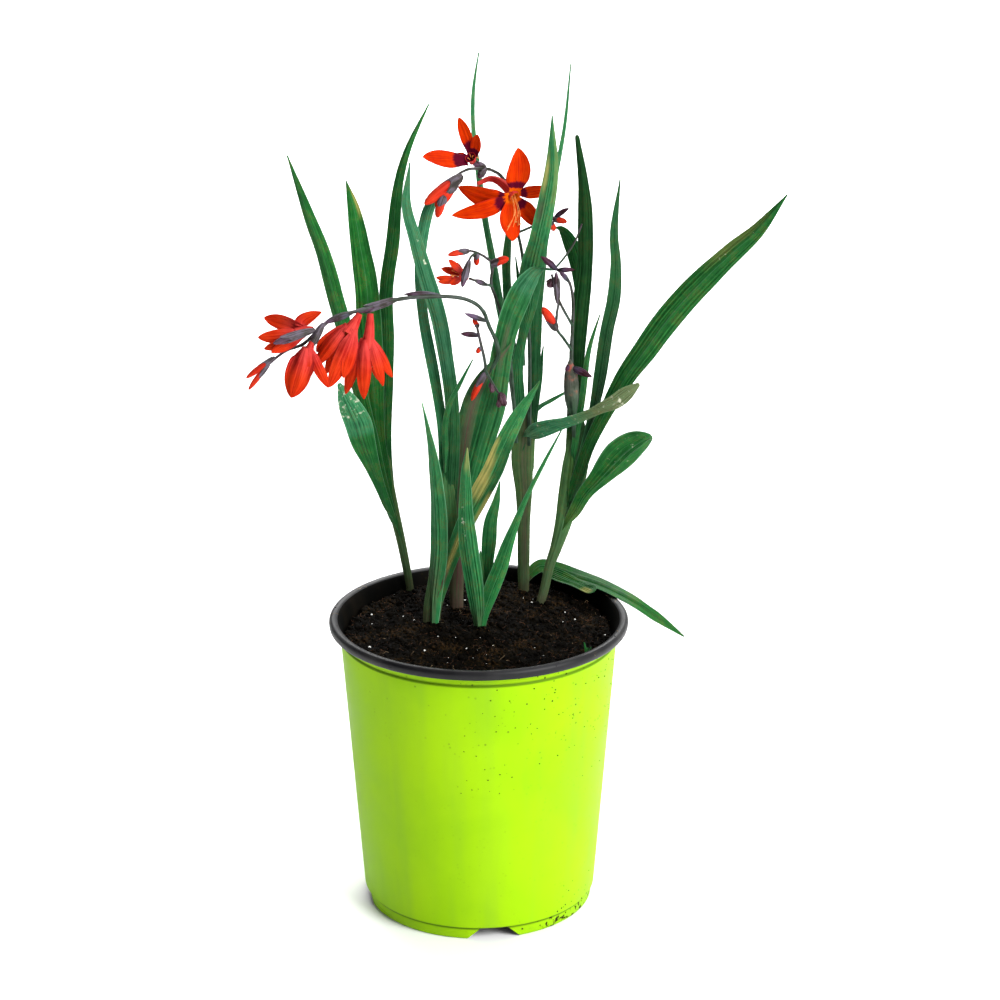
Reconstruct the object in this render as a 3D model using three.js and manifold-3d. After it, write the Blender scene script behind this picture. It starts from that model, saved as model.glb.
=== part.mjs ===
// A crocosmia with carmine-orange flowers, growing in a lime-green nursery pot.
// Millimetres, +Z up. The origin is the centre of the pot's underside, and the
// pot stands on the plane z = 0. The plant's open side faces -Y.
import * as THREE from "three";
import { mergeVertices } from "three/addons/utils/BufferGeometryUtils.js";
import Module from "manifold-3d";

const wasm = await Module();
wasm.setup();

// Driving dimensions of the pot.
const POT_HEIGHT = 171.8;
const RIM_RADIUS = 85;
const WALL_TOP_RADIUS = 79;
const WALL_BOTTOM_RADIUS = 66.9;
const WALL = 1.4;
const RIM_HEIGHT = 5.6;
const FOOT_RADIUS = 65.2;
const FOOT_HEIGHT = 7.2;
const FLOOR = 1.6;
const POT_SIDES = 40;

// Drainage notches round the foot.
const NOTCHES = 4;
const NOTCH_TURN = 7.8;
const NOTCH_WIDTH = { low: 33, high: 15.4 };
const NOTCH_DEPTH = 15;
const DRAIN_RADIUS = 3.6;

// Soil, and how the stalks stand in it. STALK_FLAT is a stalk's depth over
// its width.
const SOIL_LEVEL = 161.5;
const SOIL_TILT = 0.04;
const SOIL_RELIEF = 0.8;
const STEM_DEPTH = 24;
const COLLAR = 2.2;
const GAP = 0.35;
const STALK_FLAT = 0.6;

// Thickness of leaves and petals.
const LEAF_EDGE = 0.6;
const LEAF_RIB = 1.1;
const PETAL_EDGE = 0.6;
const PETAL_RIB = 0.9;

const DEGREE = Math.PI / 180;
const UP = new THREE.Vector3(0, 0, 1);

// Finishes.
const FINISH = {
  pot: { color: 0xa6e81e, roughness: 0.45 },
  soil: { color: 0x241710, roughness: 1 },
  leaf: { color: 0x2f7a38, roughness: 0.6 },
  shade: { color: 0x1f5a34, roughness: 0.6 },
  spray: { color: 0x4a5a4c, roughness: 0.6 },
  bloom: { color: 0xe8400c, roughness: 0.55 },
};

const vec = (p) => new THREE.Vector3(p[0], p[1], p[2]);
const mix = (a, b, t) => a + (b - a) * t;

// One value of a smooth curve through rows of numbers, t from 0 to 1.
function along(rows, t) {
  const place = Math.min(Math.max(t, 0), 1) * (rows.length - 1);
  const i = Math.min(Math.floor(place), rows.length - 2);
  const f = place - i;
  const row = (k) => rows[Math.min(Math.max(k, 0), rows.length - 1)];
  return row(i).map((b, k) => {
    const a = i > 0 ? row(i - 1)[k] : 2 * b - row(i + 1)[k];
    const c = row(i + 1)[k];
    const d = i + 2 < rows.length ? row(i + 2)[k] : 2 * c - b;
    const cubic = (3 * b - a - 3 * c + d) * f + (2 * a - 5 * b + 4 * c - d);
    return b + 0.5 * f * (c - a + f * cubic);
  });
}

// A closed solid from an array of points and an array of triangles.
function solid(points, triangles) {
  let volume = 0;
  for (const [a, b, c] of triangles) {
    volume += points[a].dot(new THREE.Vector3().crossVectors(points[b], points[c]));
  }
  const outward = volume > 0 ? triangles : triangles.map(([a, b, c]) => [a, c, b]);
  return new wasm.Manifold(new wasm.Mesh({
    numProp: 3,
    vertProperties: new Float32Array(points.flatMap((p) => [p.x, p.y, p.z])),
    triVerts: new Uint32Array(outward.flat()),
  }));
}

// A solid from a three.js geometry.
function fromGeometry(geometry) {
  const bare = geometry.index ? geometry.toNonIndexed() : geometry.clone();
  bare.deleteAttribute("normal");
  bare.deleteAttribute("uv");
  const merged = mergeVertices(bare, 1e-4);
  const at = merged.attributes.position;
  const points = Array.from({ length: at.count }, (_, i) => new THREE.Vector3().fromBufferAttribute(at, i));
  const index = merged.index.array;
  const triangles = [];
  for (let i = 0; i < index.length; i += 3) {
    const [a, b, c] = [index[i], index[i + 1], index[i + 2]];
    if (a !== b && b !== c && a !== c) triangles.push([a, b, c]);
  }
  return solid(points, triangles);
}

// Rings of points joined side to side into a closed tube.
function tube(rings) {
  const sides = rings[0].length;
  const points = rings.flat();
  const triangles = [];
  for (let k = 0; k + 1 < rings.length; k += 1) {
    for (let j = 0; j < sides; j += 1) {
      const a = k * sides + j;
      const b = k * sides + ((j + 1) % sides);
      triangles.push([a, b, b + sides], [a, b + sides, a + sides]);
    }
  }
  const last = (rings.length - 1) * sides;
  for (let j = 1; j + 1 < sides; j += 1) {
    triangles.push([0, j + 1, j], [last, last + j, last + j + 1]);
  }
  return solid(points, triangles);
}

// A thin plate: matching rows of front and back points, split alike on both faces.
function plate(front, back) {
  const columns = front[0].length;
  const points = [...front.flat(), ...back.flat()];
  const behind = front.length * columns;
  const triangles = [];
  const quad = (a, b, c, d) => triangles.push([a, b, c], [a, c, d]);
  for (let k = 0; k + 1 < front.length; k += 1) {
    const low = k * columns;
    const high = low + columns;
    for (let j = 0; j + 1 < columns; j += 1) {
      quad(low + j, low + j + 1, high + j + 1, high + j);
      triangles.push([behind + low + j, behind + high + j + 1, behind + low + j + 1]);
      triangles.push([behind + low + j, behind + high + j, behind + high + j + 1]);
    }
    const right = low + columns - 1;
    const above = high + columns - 1;
    quad(low, high, behind + high, behind + low);
    quad(right, behind + right, behind + above, above);
  }
  const top = (front.length - 1) * columns;
  for (let j = 0; j + 1 < columns; j += 1) {
    quad(j, behind + j, behind + j + 1, j + 1);
    quad(top + j, top + j + 1, behind + top + j + 1, behind + top + j);
  }
  return solid(points, triangles);
}

// A blade along a rib of [x, y, z, width] rows. `side(t, tangent)` is its width
// direction, and `fold` is how deep it is keeled, as a share of its width.
function blade(rib, side, { fold = 0.1, edge = LEAF_EDGE, core = LEAF_RIB, steps = rib.length } = {}) {
  const front = [];
  const back = [];
  for (let k = 0; k <= steps; k += 1) {
    const t = k / steps;
    const row = along(rib, t);
    const tangent = vec(along(rib, t + 0.01)).sub(vec(along(rib, t - 0.01))).normalize();
    const across = side(t, tangent);
    across.addScaledVector(tangent, -across.dot(tangent)).normalize();
    const normal = new THREE.Vector3().crossVectors(tangent, across).normalize();
    const half = Math.max(row[3], 0.9) / 2;
    const spot = (u, n) => vec(row).addScaledVector(across, u).addScaledVector(normal, n);
    const keel = -fold * half * 2;
    front.push([spot(-half, edge / 2), spot(0, keel + core / 2), spot(half, edge / 2)]);
    back.push([spot(-half, -edge / 2), spot(0, keel - core / 2), spot(half, -edge / 2)]);
  }
  return plate(front, back);
}

// A leaf whose face turns from `face[0]` to `face[1]` degrees: 0 faces -Y, 90 faces +X.
function leaf(rib, face = [0, 0], options = {}) {
  const side = (t) => {
    const turn = mix(face[0], face[1], t) * DEGREE;
    return new THREE.Vector3(Math.cos(turn), Math.sin(turn), 0);
  };
  return blade(rib, side, options);
}

// A flattened round bar along [x, y, z, width] rows, `flat` times as deep as it is wide.
function bar(rows, { flat = 1, sides = 5, steps = rows.length, turn = 0, level = false } = {}) {
  const rings = [];
  let across = new THREE.Vector3(Math.cos(turn * DEGREE), Math.sin(turn * DEGREE), 0);
  for (let k = 0; k <= steps; k += 1) {
    const t = k / steps;
    const row = along(rows, t);
    const tangent = vec(along(rows, t + 0.01)).sub(vec(along(rows, t - 0.01))).normalize();
    if (level && k === 0) tangent.copy(UP);
    across = across.clone().addScaledVector(tangent, -across.dot(tangent)).normalize();
    const normal = new THREE.Vector3().crossVectors(tangent, across);
    const half = Math.max(row[3], 0.5) / 2;
    rings.push(Array.from({ length: sides }, (_, j) => {
      const angle = ((j + 0.5) / sides) * 2 * Math.PI;
      return vec(row)
        .addScaledVector(across, half * Math.cos(angle))
        .addScaledVector(normal, half * flat * Math.sin(angle));
    }));
  }
  return tube(rings);
}

// A spindle from `from` to `to`, `width` across at its fullest: a bud, a bract or a calyx.
function spindle(from, to, width) {
  const rows = [[0, 0.5], [0.33, 1], [0.74, 0.9], [1, 0.16]].map(([t, w]) => [
    mix(from[0], to[0], t), mix(from[1], to[1], t), mix(from[2], to[2], t), w * width,
  ]);
  return bar(rows, { steps: 3 });
}

function join(solids) {
  return solids.reduce((sum, item) => sum.add(item));
}

// The main piece of a body, without the loose scraps that cutting a socket may leave.
function largest(body) {
  return body.decompose().reduce((best, item) => (item.volume() > best.volume() ? item : best));
}

const group = new THREE.Group();

function place(name, body, finish) {
  const mesh = largest(body).getMesh();
  const geometry = new THREE.BufferGeometry();
  const count = mesh.vertProperties.length / mesh.numProp;
  const position = new Float32Array(count * 3);
  for (let i = 0; i < count; i += 1) {
    for (let k = 0; k < 3; k += 1) position[i * 3 + k] = mesh.vertProperties[i * mesh.numProp + k];
  }
  geometry.setAttribute("position", new THREE.BufferAttribute(position, 3));
  geometry.setIndex(new THREE.BufferAttribute(new Uint32Array(mesh.triVerts), 1));
  geometry.computeVertexNormals();
  const part = new THREE.Mesh(geometry, new THREE.MeshStandardMaterial(finish));
  part.name = name;
  group.add(part);
}

// The pot is one moulding: a tapered wall, a rolled rim and a foot with drainage notches.
function potProfile() {
  const rimFoot = POT_HEIGHT - RIM_HEIGHT;
  const innerTop = WALL_TOP_RADIUS - WALL;
  const innerLow = WALL_BOTTOM_RADIUS - WALL;
  return [
    [0, 0], [FOOT_RADIUS - 1.2, 0], [FOOT_RADIUS, 1.2], [FOOT_RADIUS + 0.2, FOOT_HEIGHT],
    [WALL_BOTTOM_RADIUS, FOOT_HEIGHT + 1.4], [WALL_TOP_RADIUS - 0.4, rimFoot - 6],
    [WALL_TOP_RADIUS - 0.8, rimFoot - 5.2], [WALL_TOP_RADIUS - 0.5, rimFoot],
    [RIM_RADIUS - 0.8, rimFoot + 0.4], [RIM_RADIUS, rimFoot + 3], [RIM_RADIUS - 0.7, rimFoot + 4.8],
    [RIM_RADIUS - 1.9, POT_HEIGHT], [RIM_RADIUS - 3.3, POT_HEIGHT - 0.2], [RIM_RADIUS - 4.6, POT_HEIGHT - 0.9],
    [RIM_RADIUS - 5.8, POT_HEIGHT - 2.4],
    [innerTop, rimFoot - 1], [innerLow, FOOT_HEIGHT + 2],
    [FOOT_RADIUS - WALL, FOOT_HEIGHT - 1], [FOOT_RADIUS - WALL - 1, FLOOR], [0, FLOOR],
  ];
}

function lathe(profile) {
  const points = profile.map(([r, z]) => new THREE.Vector2(r, z));
  const geometry = new THREE.LatheGeometry(points, POT_SIDES);
  geometry.rotateX(Math.PI / 2);
  return fromGeometry(geometry);
}

// A trapezoid prism that reaches inward from beyond the foot, grown by `grow` all round.
function notchBlock(index, grow, reach) {
  const low = NOTCH_WIDTH.low / 2 + grow;
  const high = NOTCH_WIDTH.high / 2 + grow;
  const outline = new THREE.Shape();
  outline.moveTo(-low, -1);
  outline.lineTo(low, -1);
  outline.lineTo(high, FOOT_HEIGHT + grow);
  outline.lineTo(-high, FOOT_HEIGHT + grow);
  outline.closePath();
  const inner = FOOT_RADIUS - NOTCH_DEPTH - grow;
  const geometry = new THREE.ExtrudeGeometry(outline, { depth: reach - inner, bevelEnabled: false, steps: 1 });
  geometry.rotateX(Math.PI / 2);
  geometry.translate(0, -inner, 0);
  geometry.rotateZ((NOTCH_TURN + (360 / NOTCHES) * index) * DEGREE);
  return fromGeometry(geometry);
}

function drain(index) {
  const geometry = new THREE.CylinderGeometry(DRAIN_RADIUS, DRAIN_RADIUS, 8, 10);
  geometry.rotateX(Math.PI / 2);
  geometry.translate(0, -(FOOT_RADIUS - NOTCH_DEPTH / 2 - 1), FOOT_HEIGHT);
  geometry.rotateZ((NOTCH_TURN + (360 / NOTCHES) * index) * DEGREE);
  return fromGeometry(geometry);
}

function pot() {
  const profile = potProfile();
  const rim = profile.findIndex(([r]) => r === RIM_RADIUS);
  const block = lathe([...profile.slice(0, rim + 1), [0, profile[rim][1]]]);
  let body = lathe(profile);
  for (let i = 0; i < NOTCHES; i += 1) body = body.add(notchBlock(i, WALL, FOOT_RADIUS + 8).intersect(block));
  for (let i = 0; i < NOTCHES; i += 1) body = body.subtract(notchBlock(i, 0, FOOT_RADIUS + 8)).subtract(drain(i));
  return body;
}

// The height of the soil's surface: it rises towards the back, with a few gentle waves.
function surface(x, y) {
  const waves = Math.sin(x * 0.21 + 1.3) * Math.cos(y * 0.17) + Math.sin(x * 0.09 - y * 0.13 + 2);
  return SOIL_LEVEL + SOIL_TILT * y + SOIL_RELIEF * 0.5 * (waves + Math.sin(x * 0.43 + y * 0.37));
}

function soil(shoots) {
  const bottom = FLOOR + GAP;
  const slope = (WALL_TOP_RADIUS - WALL_BOTTOM_RADIUS) / (POT_HEIGHT - RIM_HEIGHT - FOOT_HEIGHT);
  const inner = (z) => WALL_BOTTOM_RADIUS - WALL - GAP + slope * (z - FOOT_HEIGHT - 2) - 0.5;
  const low = FOOT_RADIUS - WALL - 1 - GAP - 0.6;
  const shelf = FOOT_HEIGHT + 3;
  const ring = (radius, height) => Array.from({ length: POT_SIDES }, (_, j) => {
    const angle = (j / POT_SIDES) * 2 * Math.PI;
    const [x, y] = [radius * Math.cos(angle), radius * Math.sin(angle)];
    return new THREE.Vector3(x, y, height ?? surface(x, y));
  });
  const top = inner(SOIL_LEVEL);
  const rings = [ring(low, bottom), ring(low, shelf - 3), ring(inner(shelf), shelf), ring(top)];
  for (const share of [0.86, 0.66, 0.46, 0.26, 0.08]) rings.push(ring(top * share));
  let body = tube(rings);
  for (let i = 0; i < NOTCHES; i += 1) body = body.subtract(notchBlock(i, WALL + GAP, FOOT_RADIUS + 2));
  for (const shoot of Object.values(shoots)) body = body.subtract(stump(shoot.foot, GAP));
  return body;
}

// The buried foot of a stalk: a plain upright bar that ends in the soil.
function stump([x, y, width], grow = 0) {
  const across = width + 2 * grow;
  const top = surface(x, y) + COLLAR;
  const rows = [
    [x, y, top - STEM_DEPTH - grow, across],
    [x, y, top + (grow > 0 ? 4 : 0), across],
  ];
  const flat = (width * STALK_FLAT + 2 * grow) / across;
  return bar(rows, { flat, sides: 8, steps: 1 });
}

// Each shoot: its foot in the soil as [x, y, width], then its sheathed stalk and its leaves
// as rows of [x, y, z, width]. `face` turns a leaf from its base to its tip.
const SHOOTS = {
  shoot_left: {
    foot: [-41, 61, 4.5],
    stalk: [[-43, 62, 178, 5], [-46, 65, 193, 5.5], [-50, 67, 211, 6.5], [-54, 69, 229, 8], [-56, 71, 247, 7]],
    leaves: [
      { face: [10, -25], rib: [[-48, 66, 196, 4.5], [-53, 69, 223, 7], [-55, 71, 253, 8], [-54, 71, 283, 8.5],
        [-53, 72, 313, 8.5], [-53, 74, 342, 8], [-49, 76, 371, 8], [-46, 78, 400, 6], [-40, 80, 423, 4],
        [-28, 84, 448, 0.6]] },
      { face: [0, 15], rib: [[-49, 66, 199, 4.5], [-54, 68, 229, 6], [-59, 69, 259, 8.5], [-61, 67, 290, 13],
        [-62.5, 65, 321, 14.4], [-64, 64, 348, 13.4], [-67, 62, 371, 11], [-70, 60, 392, 7.5], [-74, 57, 410, 0.6]] },
      { face: [0, -20], rib: [[-48, 65, 198, 4.5], [-56, 66, 227, 6], [-62, 65, 255, 7.5], [-68, 62, 283, 8.5],
        [-74, 57, 314, 9.5], [-80, 51, 341, 10], [-86, 46, 368, 9], [-94, 41, 394, 7], [-105, 36, 429, 0.6]] },
      { face: [0, 10], rib: [[-49, 64, 201, 4], [-56, 63, 222, 5.5], [-62, 62, 240, 9], [-67, 60, 256, 14.5],
        [-70, 57, 269, 15.5], [-74, 54, 281, 12.5], [-76, 53, 287, 7]] },
    ],
  },
  shoot_front_left: {
    foot: [-27, 16, 10.5],
    stalk: [[-26, 16, 173, 11], [-22, 18, 189, 13.5], [-19, 19, 205, 15.5], [-19, 20, 222, 15], [-19, 22, 238, 11]],
    leaves: [
      { face: [-35, -60], rib: [[-24, 15, 181, 7], [-25, 16, 205, 7], [-25, 16, 226, 7.5], [-25, 14, 248, 8],
        [-26, 11, 265, 7.5], [-28, 7, 280, 5], [-31, 2, 297, 0.6]] },
      { face: [5, 35], rib: [[-20, 20, 198, 8], [-17, 23, 233, 9], [-15, 25, 262, 9], [-15, 28, 288, 8],
        [-18, 31, 313, 8.5], [-22, 34, 336, 9.5], [-29, 38, 359, 9.5], [-35, 41, 380, 8], [-40, 45, 399, 6],
        [-38, 50, 422, 0.6]] },
      { face: [30, -10], rib: [[-22, 21, 197, 5], [-20, 24, 232, 5.5], [-20, 28, 267, 6], [-23, 33, 291, 6],
        [-27, 38, 313, 6.5], [-31, 43, 334, 6], [-33, 49, 357, 6], [-32, 54, 375, 6.5], [-28, 60, 393, 6.5],
        [-20, 66, 405, 1.5]] },
      { face: [-10, 10], rib: [[-24, 15, 175, 7], [-18, 14, 194, 8], [-12, 13, 211, 9], [-6, 12, 226, 10.5],
        [1, 10, 241, 11.5], [8, 9, 255, 11.5], [14, 7, 271, 10.5], [19, 4, 283, 9.5], [25, 1, 295, 6.5],
        [34, -3, 311, 0.6]] },
      { face: [0, 20], rib: [[-18, 24, 250, 3.5], [-19, 21, 275, 3.5], [-16, 17, 292, 3], [-11, 14, 303, 2.5],
        [-3, 9, 320, 0.6]] },
    ],
  },
  shoot_middle: {
    foot: [-13, 34, 8],
    stalk: [[-13, 36, 176, 8.5], [-12, 37, 197, 8.5], [-11, 39, 221, 9], [-10, 38, 246, 9.5],
      [-8, 36, 267, 11], [-4, 35, 286, 11.5], [2, 34, 300, 9.5], [10, 33.5, 311, 6]],
    leaves: [
      { face: [0, 15], rib: [[-11, 39, 209, 8], [-5, 38, 237, 12], [1, 36, 261, 14.5], [7, 35, 283, 16],
        [11, 34, 303, 13], [14, 35, 321, 12], [18, 36, 336, 13], [23, 39, 348, 13.5], [28, 43, 356, 10.5],
        [34, 48, 361, 6], [44, 55, 359, 0.6]] },
    ],
  },
  shoot_front_short: {
    foot: [1, 5, 7],
    stalk: [[1, 5, 172, 9.5], [1, 6, 183, 12], [1, 6, 194, 9]],
    leaves: [
      { face: [-10, -20], rib: [[0, 3.6, 171, 6.5], [-2, 3.4, 185, 10], [-4, 3, 200, 11], [-6, 2.4, 216, 11],
        [-7, 1, 231, 9], [-7, -1, 246, 7], [-7, -4, 260, 5], [-6, -8, 273, 0.6]] },
      { face: [5, 20], rib: [[2, 6, 172, 5], [4, 8, 187, 7], [5, 9, 202, 7.5], [6, 9, 214, 8.5], [7, 8, 226, 7.5],
        [10, 7, 238, 4.5], [12, 5, 250, 0.6]] },
      { face: [10, 35], rib: [[3, 4.2, 172, 6.5], [7, 4.2, 185, 9.5], [12, 3, 199, 10], [16, 0, 213, 8],
        [21, -4, 229, 5], [27, -9, 246, 3.5], [36, -15, 267, 2.8], [46, -21, 289, 0.6]] },
    ],
  },
  shoot_rear: {
    foot: [26, 59, 6.5],
    stalk: [[26, 60, 173, 7], [26, 62, 188, 7.5], [26, 64, 206, 8], [26, 66, 224, 10.5], [25, 66, 243, 13.5],
      [26, 65, 262, 13]],
    leaves: [
      { face: [0, 5], rib: [[25, 65, 246, 8], [23, 64, 274, 7.5], [22, 62, 298, 7], [25, 60, 319, 5.5],
        [29, 59, 338, 8.5], [30, 58, 357, 13.5], [34, 56, 377, 11], [38, 55, 397, 10], [41, 53, 419, 7.5],
        [41, 51, 448, 0.6]] },
      { face: [5, 30], rib: [[28, 66, 249, 7], [31, 67, 273, 7], [32, 68, 303, 7], [33, 69, 330, 7],
        [34, 70, 347, 5.5], [35, 71, 365, 0.6]] },
      { face: [40, 62], rib: [[24, 68, 248, 5], [21, 71, 278, 6], [17, 75, 307, 6.5], [12, 79, 332, 6.5],
        [8, 84, 356, 6], [4, 88, 378, 5.5], [0, 92, 404, 5], [-3, 96, 431, 4], [-3, 99, 453, 3.5],
        [0, 101, 474, 0.6]] },
      { face: [20, 45], rib: [[25, 66, 255, 5], [21, 68, 287, 5.5], [18, 71, 320, 5.5], [16, 72, 346, 6],
        [16, 74, 364, 6], [19, 76, 395, 0.6]] },
      { face: [30, 60], rib: [[28, 67, 251, 5], [31, 71, 283, 6], [33, 76, 318, 6.5], [36, 80, 352, 6],
        [39, 83, 383, 5.5], [44, 87, 408, 4.5], [49, 90, 436, 3.5], [52, 93, 469, 0.6]] },
      { face: [0, 20], rib: [[30, 67, 254, 3.5], [33, 68, 278, 4], [35, 69, 293, 3.5], [37, 70, 310, 0.6]] },
      { face: [0, 20], rib: [[24, 68, 300, 3], [25, 67.5, 321, 3.5], [24, 68, 338, 3.5], [21, 69, 363, 0.6]] },
      { face: [-40, -10], fold: 0.04, rib: [[25, 64, 250, 6], [29, 59, 260, 8], [35, 53, 265, 10.5],
        [44, 44, 271, 9.5], [54, 34, 277, 7], [63, 27, 283, 5.5], [70, 23, 288, 6.5], [77, 21, 292, 8.5],
        [83, 20, 297, 8], [90, 19, 303, 2]] },
      { face: [0, 20], rib: [[27, 67, 266, 4], [35, 71, 273, 2.6], [42, 75, 276, 2.4], [55, 80, 282, 0.8]] },
    ],
  },
  shoot_right: {
    foot: [36, 40, 5.5],
    stalk: [[38, 41, 172, 5.5], [41, 42, 186, 6], [45, 43, 198, 7.5], [49, 44, 213, 10.5], [52, 45, 228, 13.5],
      [55, 45, 246, 15], [57, 45, 260, 13]],
    leaves: [
      { face: [-5, -25], rib: [[51, 45, 225, 8], [54, 45, 255, 9], [55, 46, 285, 9], [56, 48, 314, 9],
        [58, 51, 340, 10], [60, 54, 362, 9], [60, 57, 388, 9], [59, 59, 407, 6.5], [55, 62, 435, 2.5]] },
      { face: [10, -40], rib: [[55, 48, 261, 5.5], [56, 52, 290, 6], [57, 57, 318, 6], [58, 62, 341, 6.5],
        [56, 66, 358, 8], [52, 70, 371, 9], [47, 73, 378, 5], [40, 76, 379, 0.6]] },
      { face: [10, 45], rib: [[54, 44, 229, 7], [60, 42, 253, 7], [65, 42, 278, 6], [69, 41, 302, 8],
        [72, 42, 325, 9], [76, 44, 345, 9], [77, 46, 364, 7.5], [76, 48, 384, 6], [79, 51, 412, 0.6]] },
      { face: [0, -25], rib: [[51, 44, 222, 7], [57, 42, 241, 7], [63, 40, 260, 7], [71, 36, 279, 8.2],
        [82, 31, 302, 11], [94, 25, 322, 13.6], [108, 18, 344.5, 14.5], [124.5, 10, 366, 13.4],
        [139, 2, 383, 11.2], [152, -5, 397.5, 7.8], [166, -13, 418.5, 0.6]] },
      { face: [0, 30], rib: [[53, 44, 244, 4], [56, 42, 268, 4], [59, 40, 290, 4], [62, 38, 316, 3],
        [68, 36, 338, 0.6]] },
      { face: [0, 15], fold: 0.06, rib: [[48, 44, 207, 5], [55, 41, 219.5, 7.5], [61, 37, 232, 9.5],
        [68.5, 33, 242.5, 13.5], [76, 29, 253, 20], [83, 26, 262, 22.3], [91, 24, 268.5, 19.5], [97, 22.5, 272, 12]] },
    ],
  },
};

// The spent leaf that leaves the rear stalk and lies over the rim.
const RIM_REST = POT_HEIGHT + GAP + LEAF_RIB / 2;
const FALLEN = [
  [[26.5, 60, 168, 3], [30, 63, 173, 4], [36, 66, RIM_REST + 2.5, 5], [43, 65, RIM_REST + 2, 8],
    [54, 58, RIM_REST + 1.2, 11], [70, 44, RIM_REST + 1, 12], [87, 25, RIM_REST - 1, 10.5],
    [101, 19, 164, 8], [118, 16, 152, 0.8]],
  [[36, 67, RIM_REST + 2.5, 4], [45, 57, RIM_REST + 2, 6], [56, 47, RIM_REST + 0.6, 8],
    [67, 34, RIM_REST + 0.4, 7]],
];

function fallenLeaf([rib, lobe]) {
  const flatSide = (t, tangent) => new THREE.Vector3().crossVectors(UP, tangent);
  return join([blade(rib, flatSide, { fold: 0.05 }), blade(lobe, flatSide, { fold: 0.03 })]);
}

function shootBody(shoot) {
  const [x, y, width] = shoot.foot;
  const stalk = [[x, y, surface(x, y) + COLLAR, width], ...shoot.stalk];
  const pieces = [stump(shoot.foot), bar(stalk, { flat: STALK_FLAT, sides: 8, level: true })];
  for (const { rib, face, fold } of shoot.leaves) pieces.push(leaf(rib, face, { fold }));
  return join(pieces);
}

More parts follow.
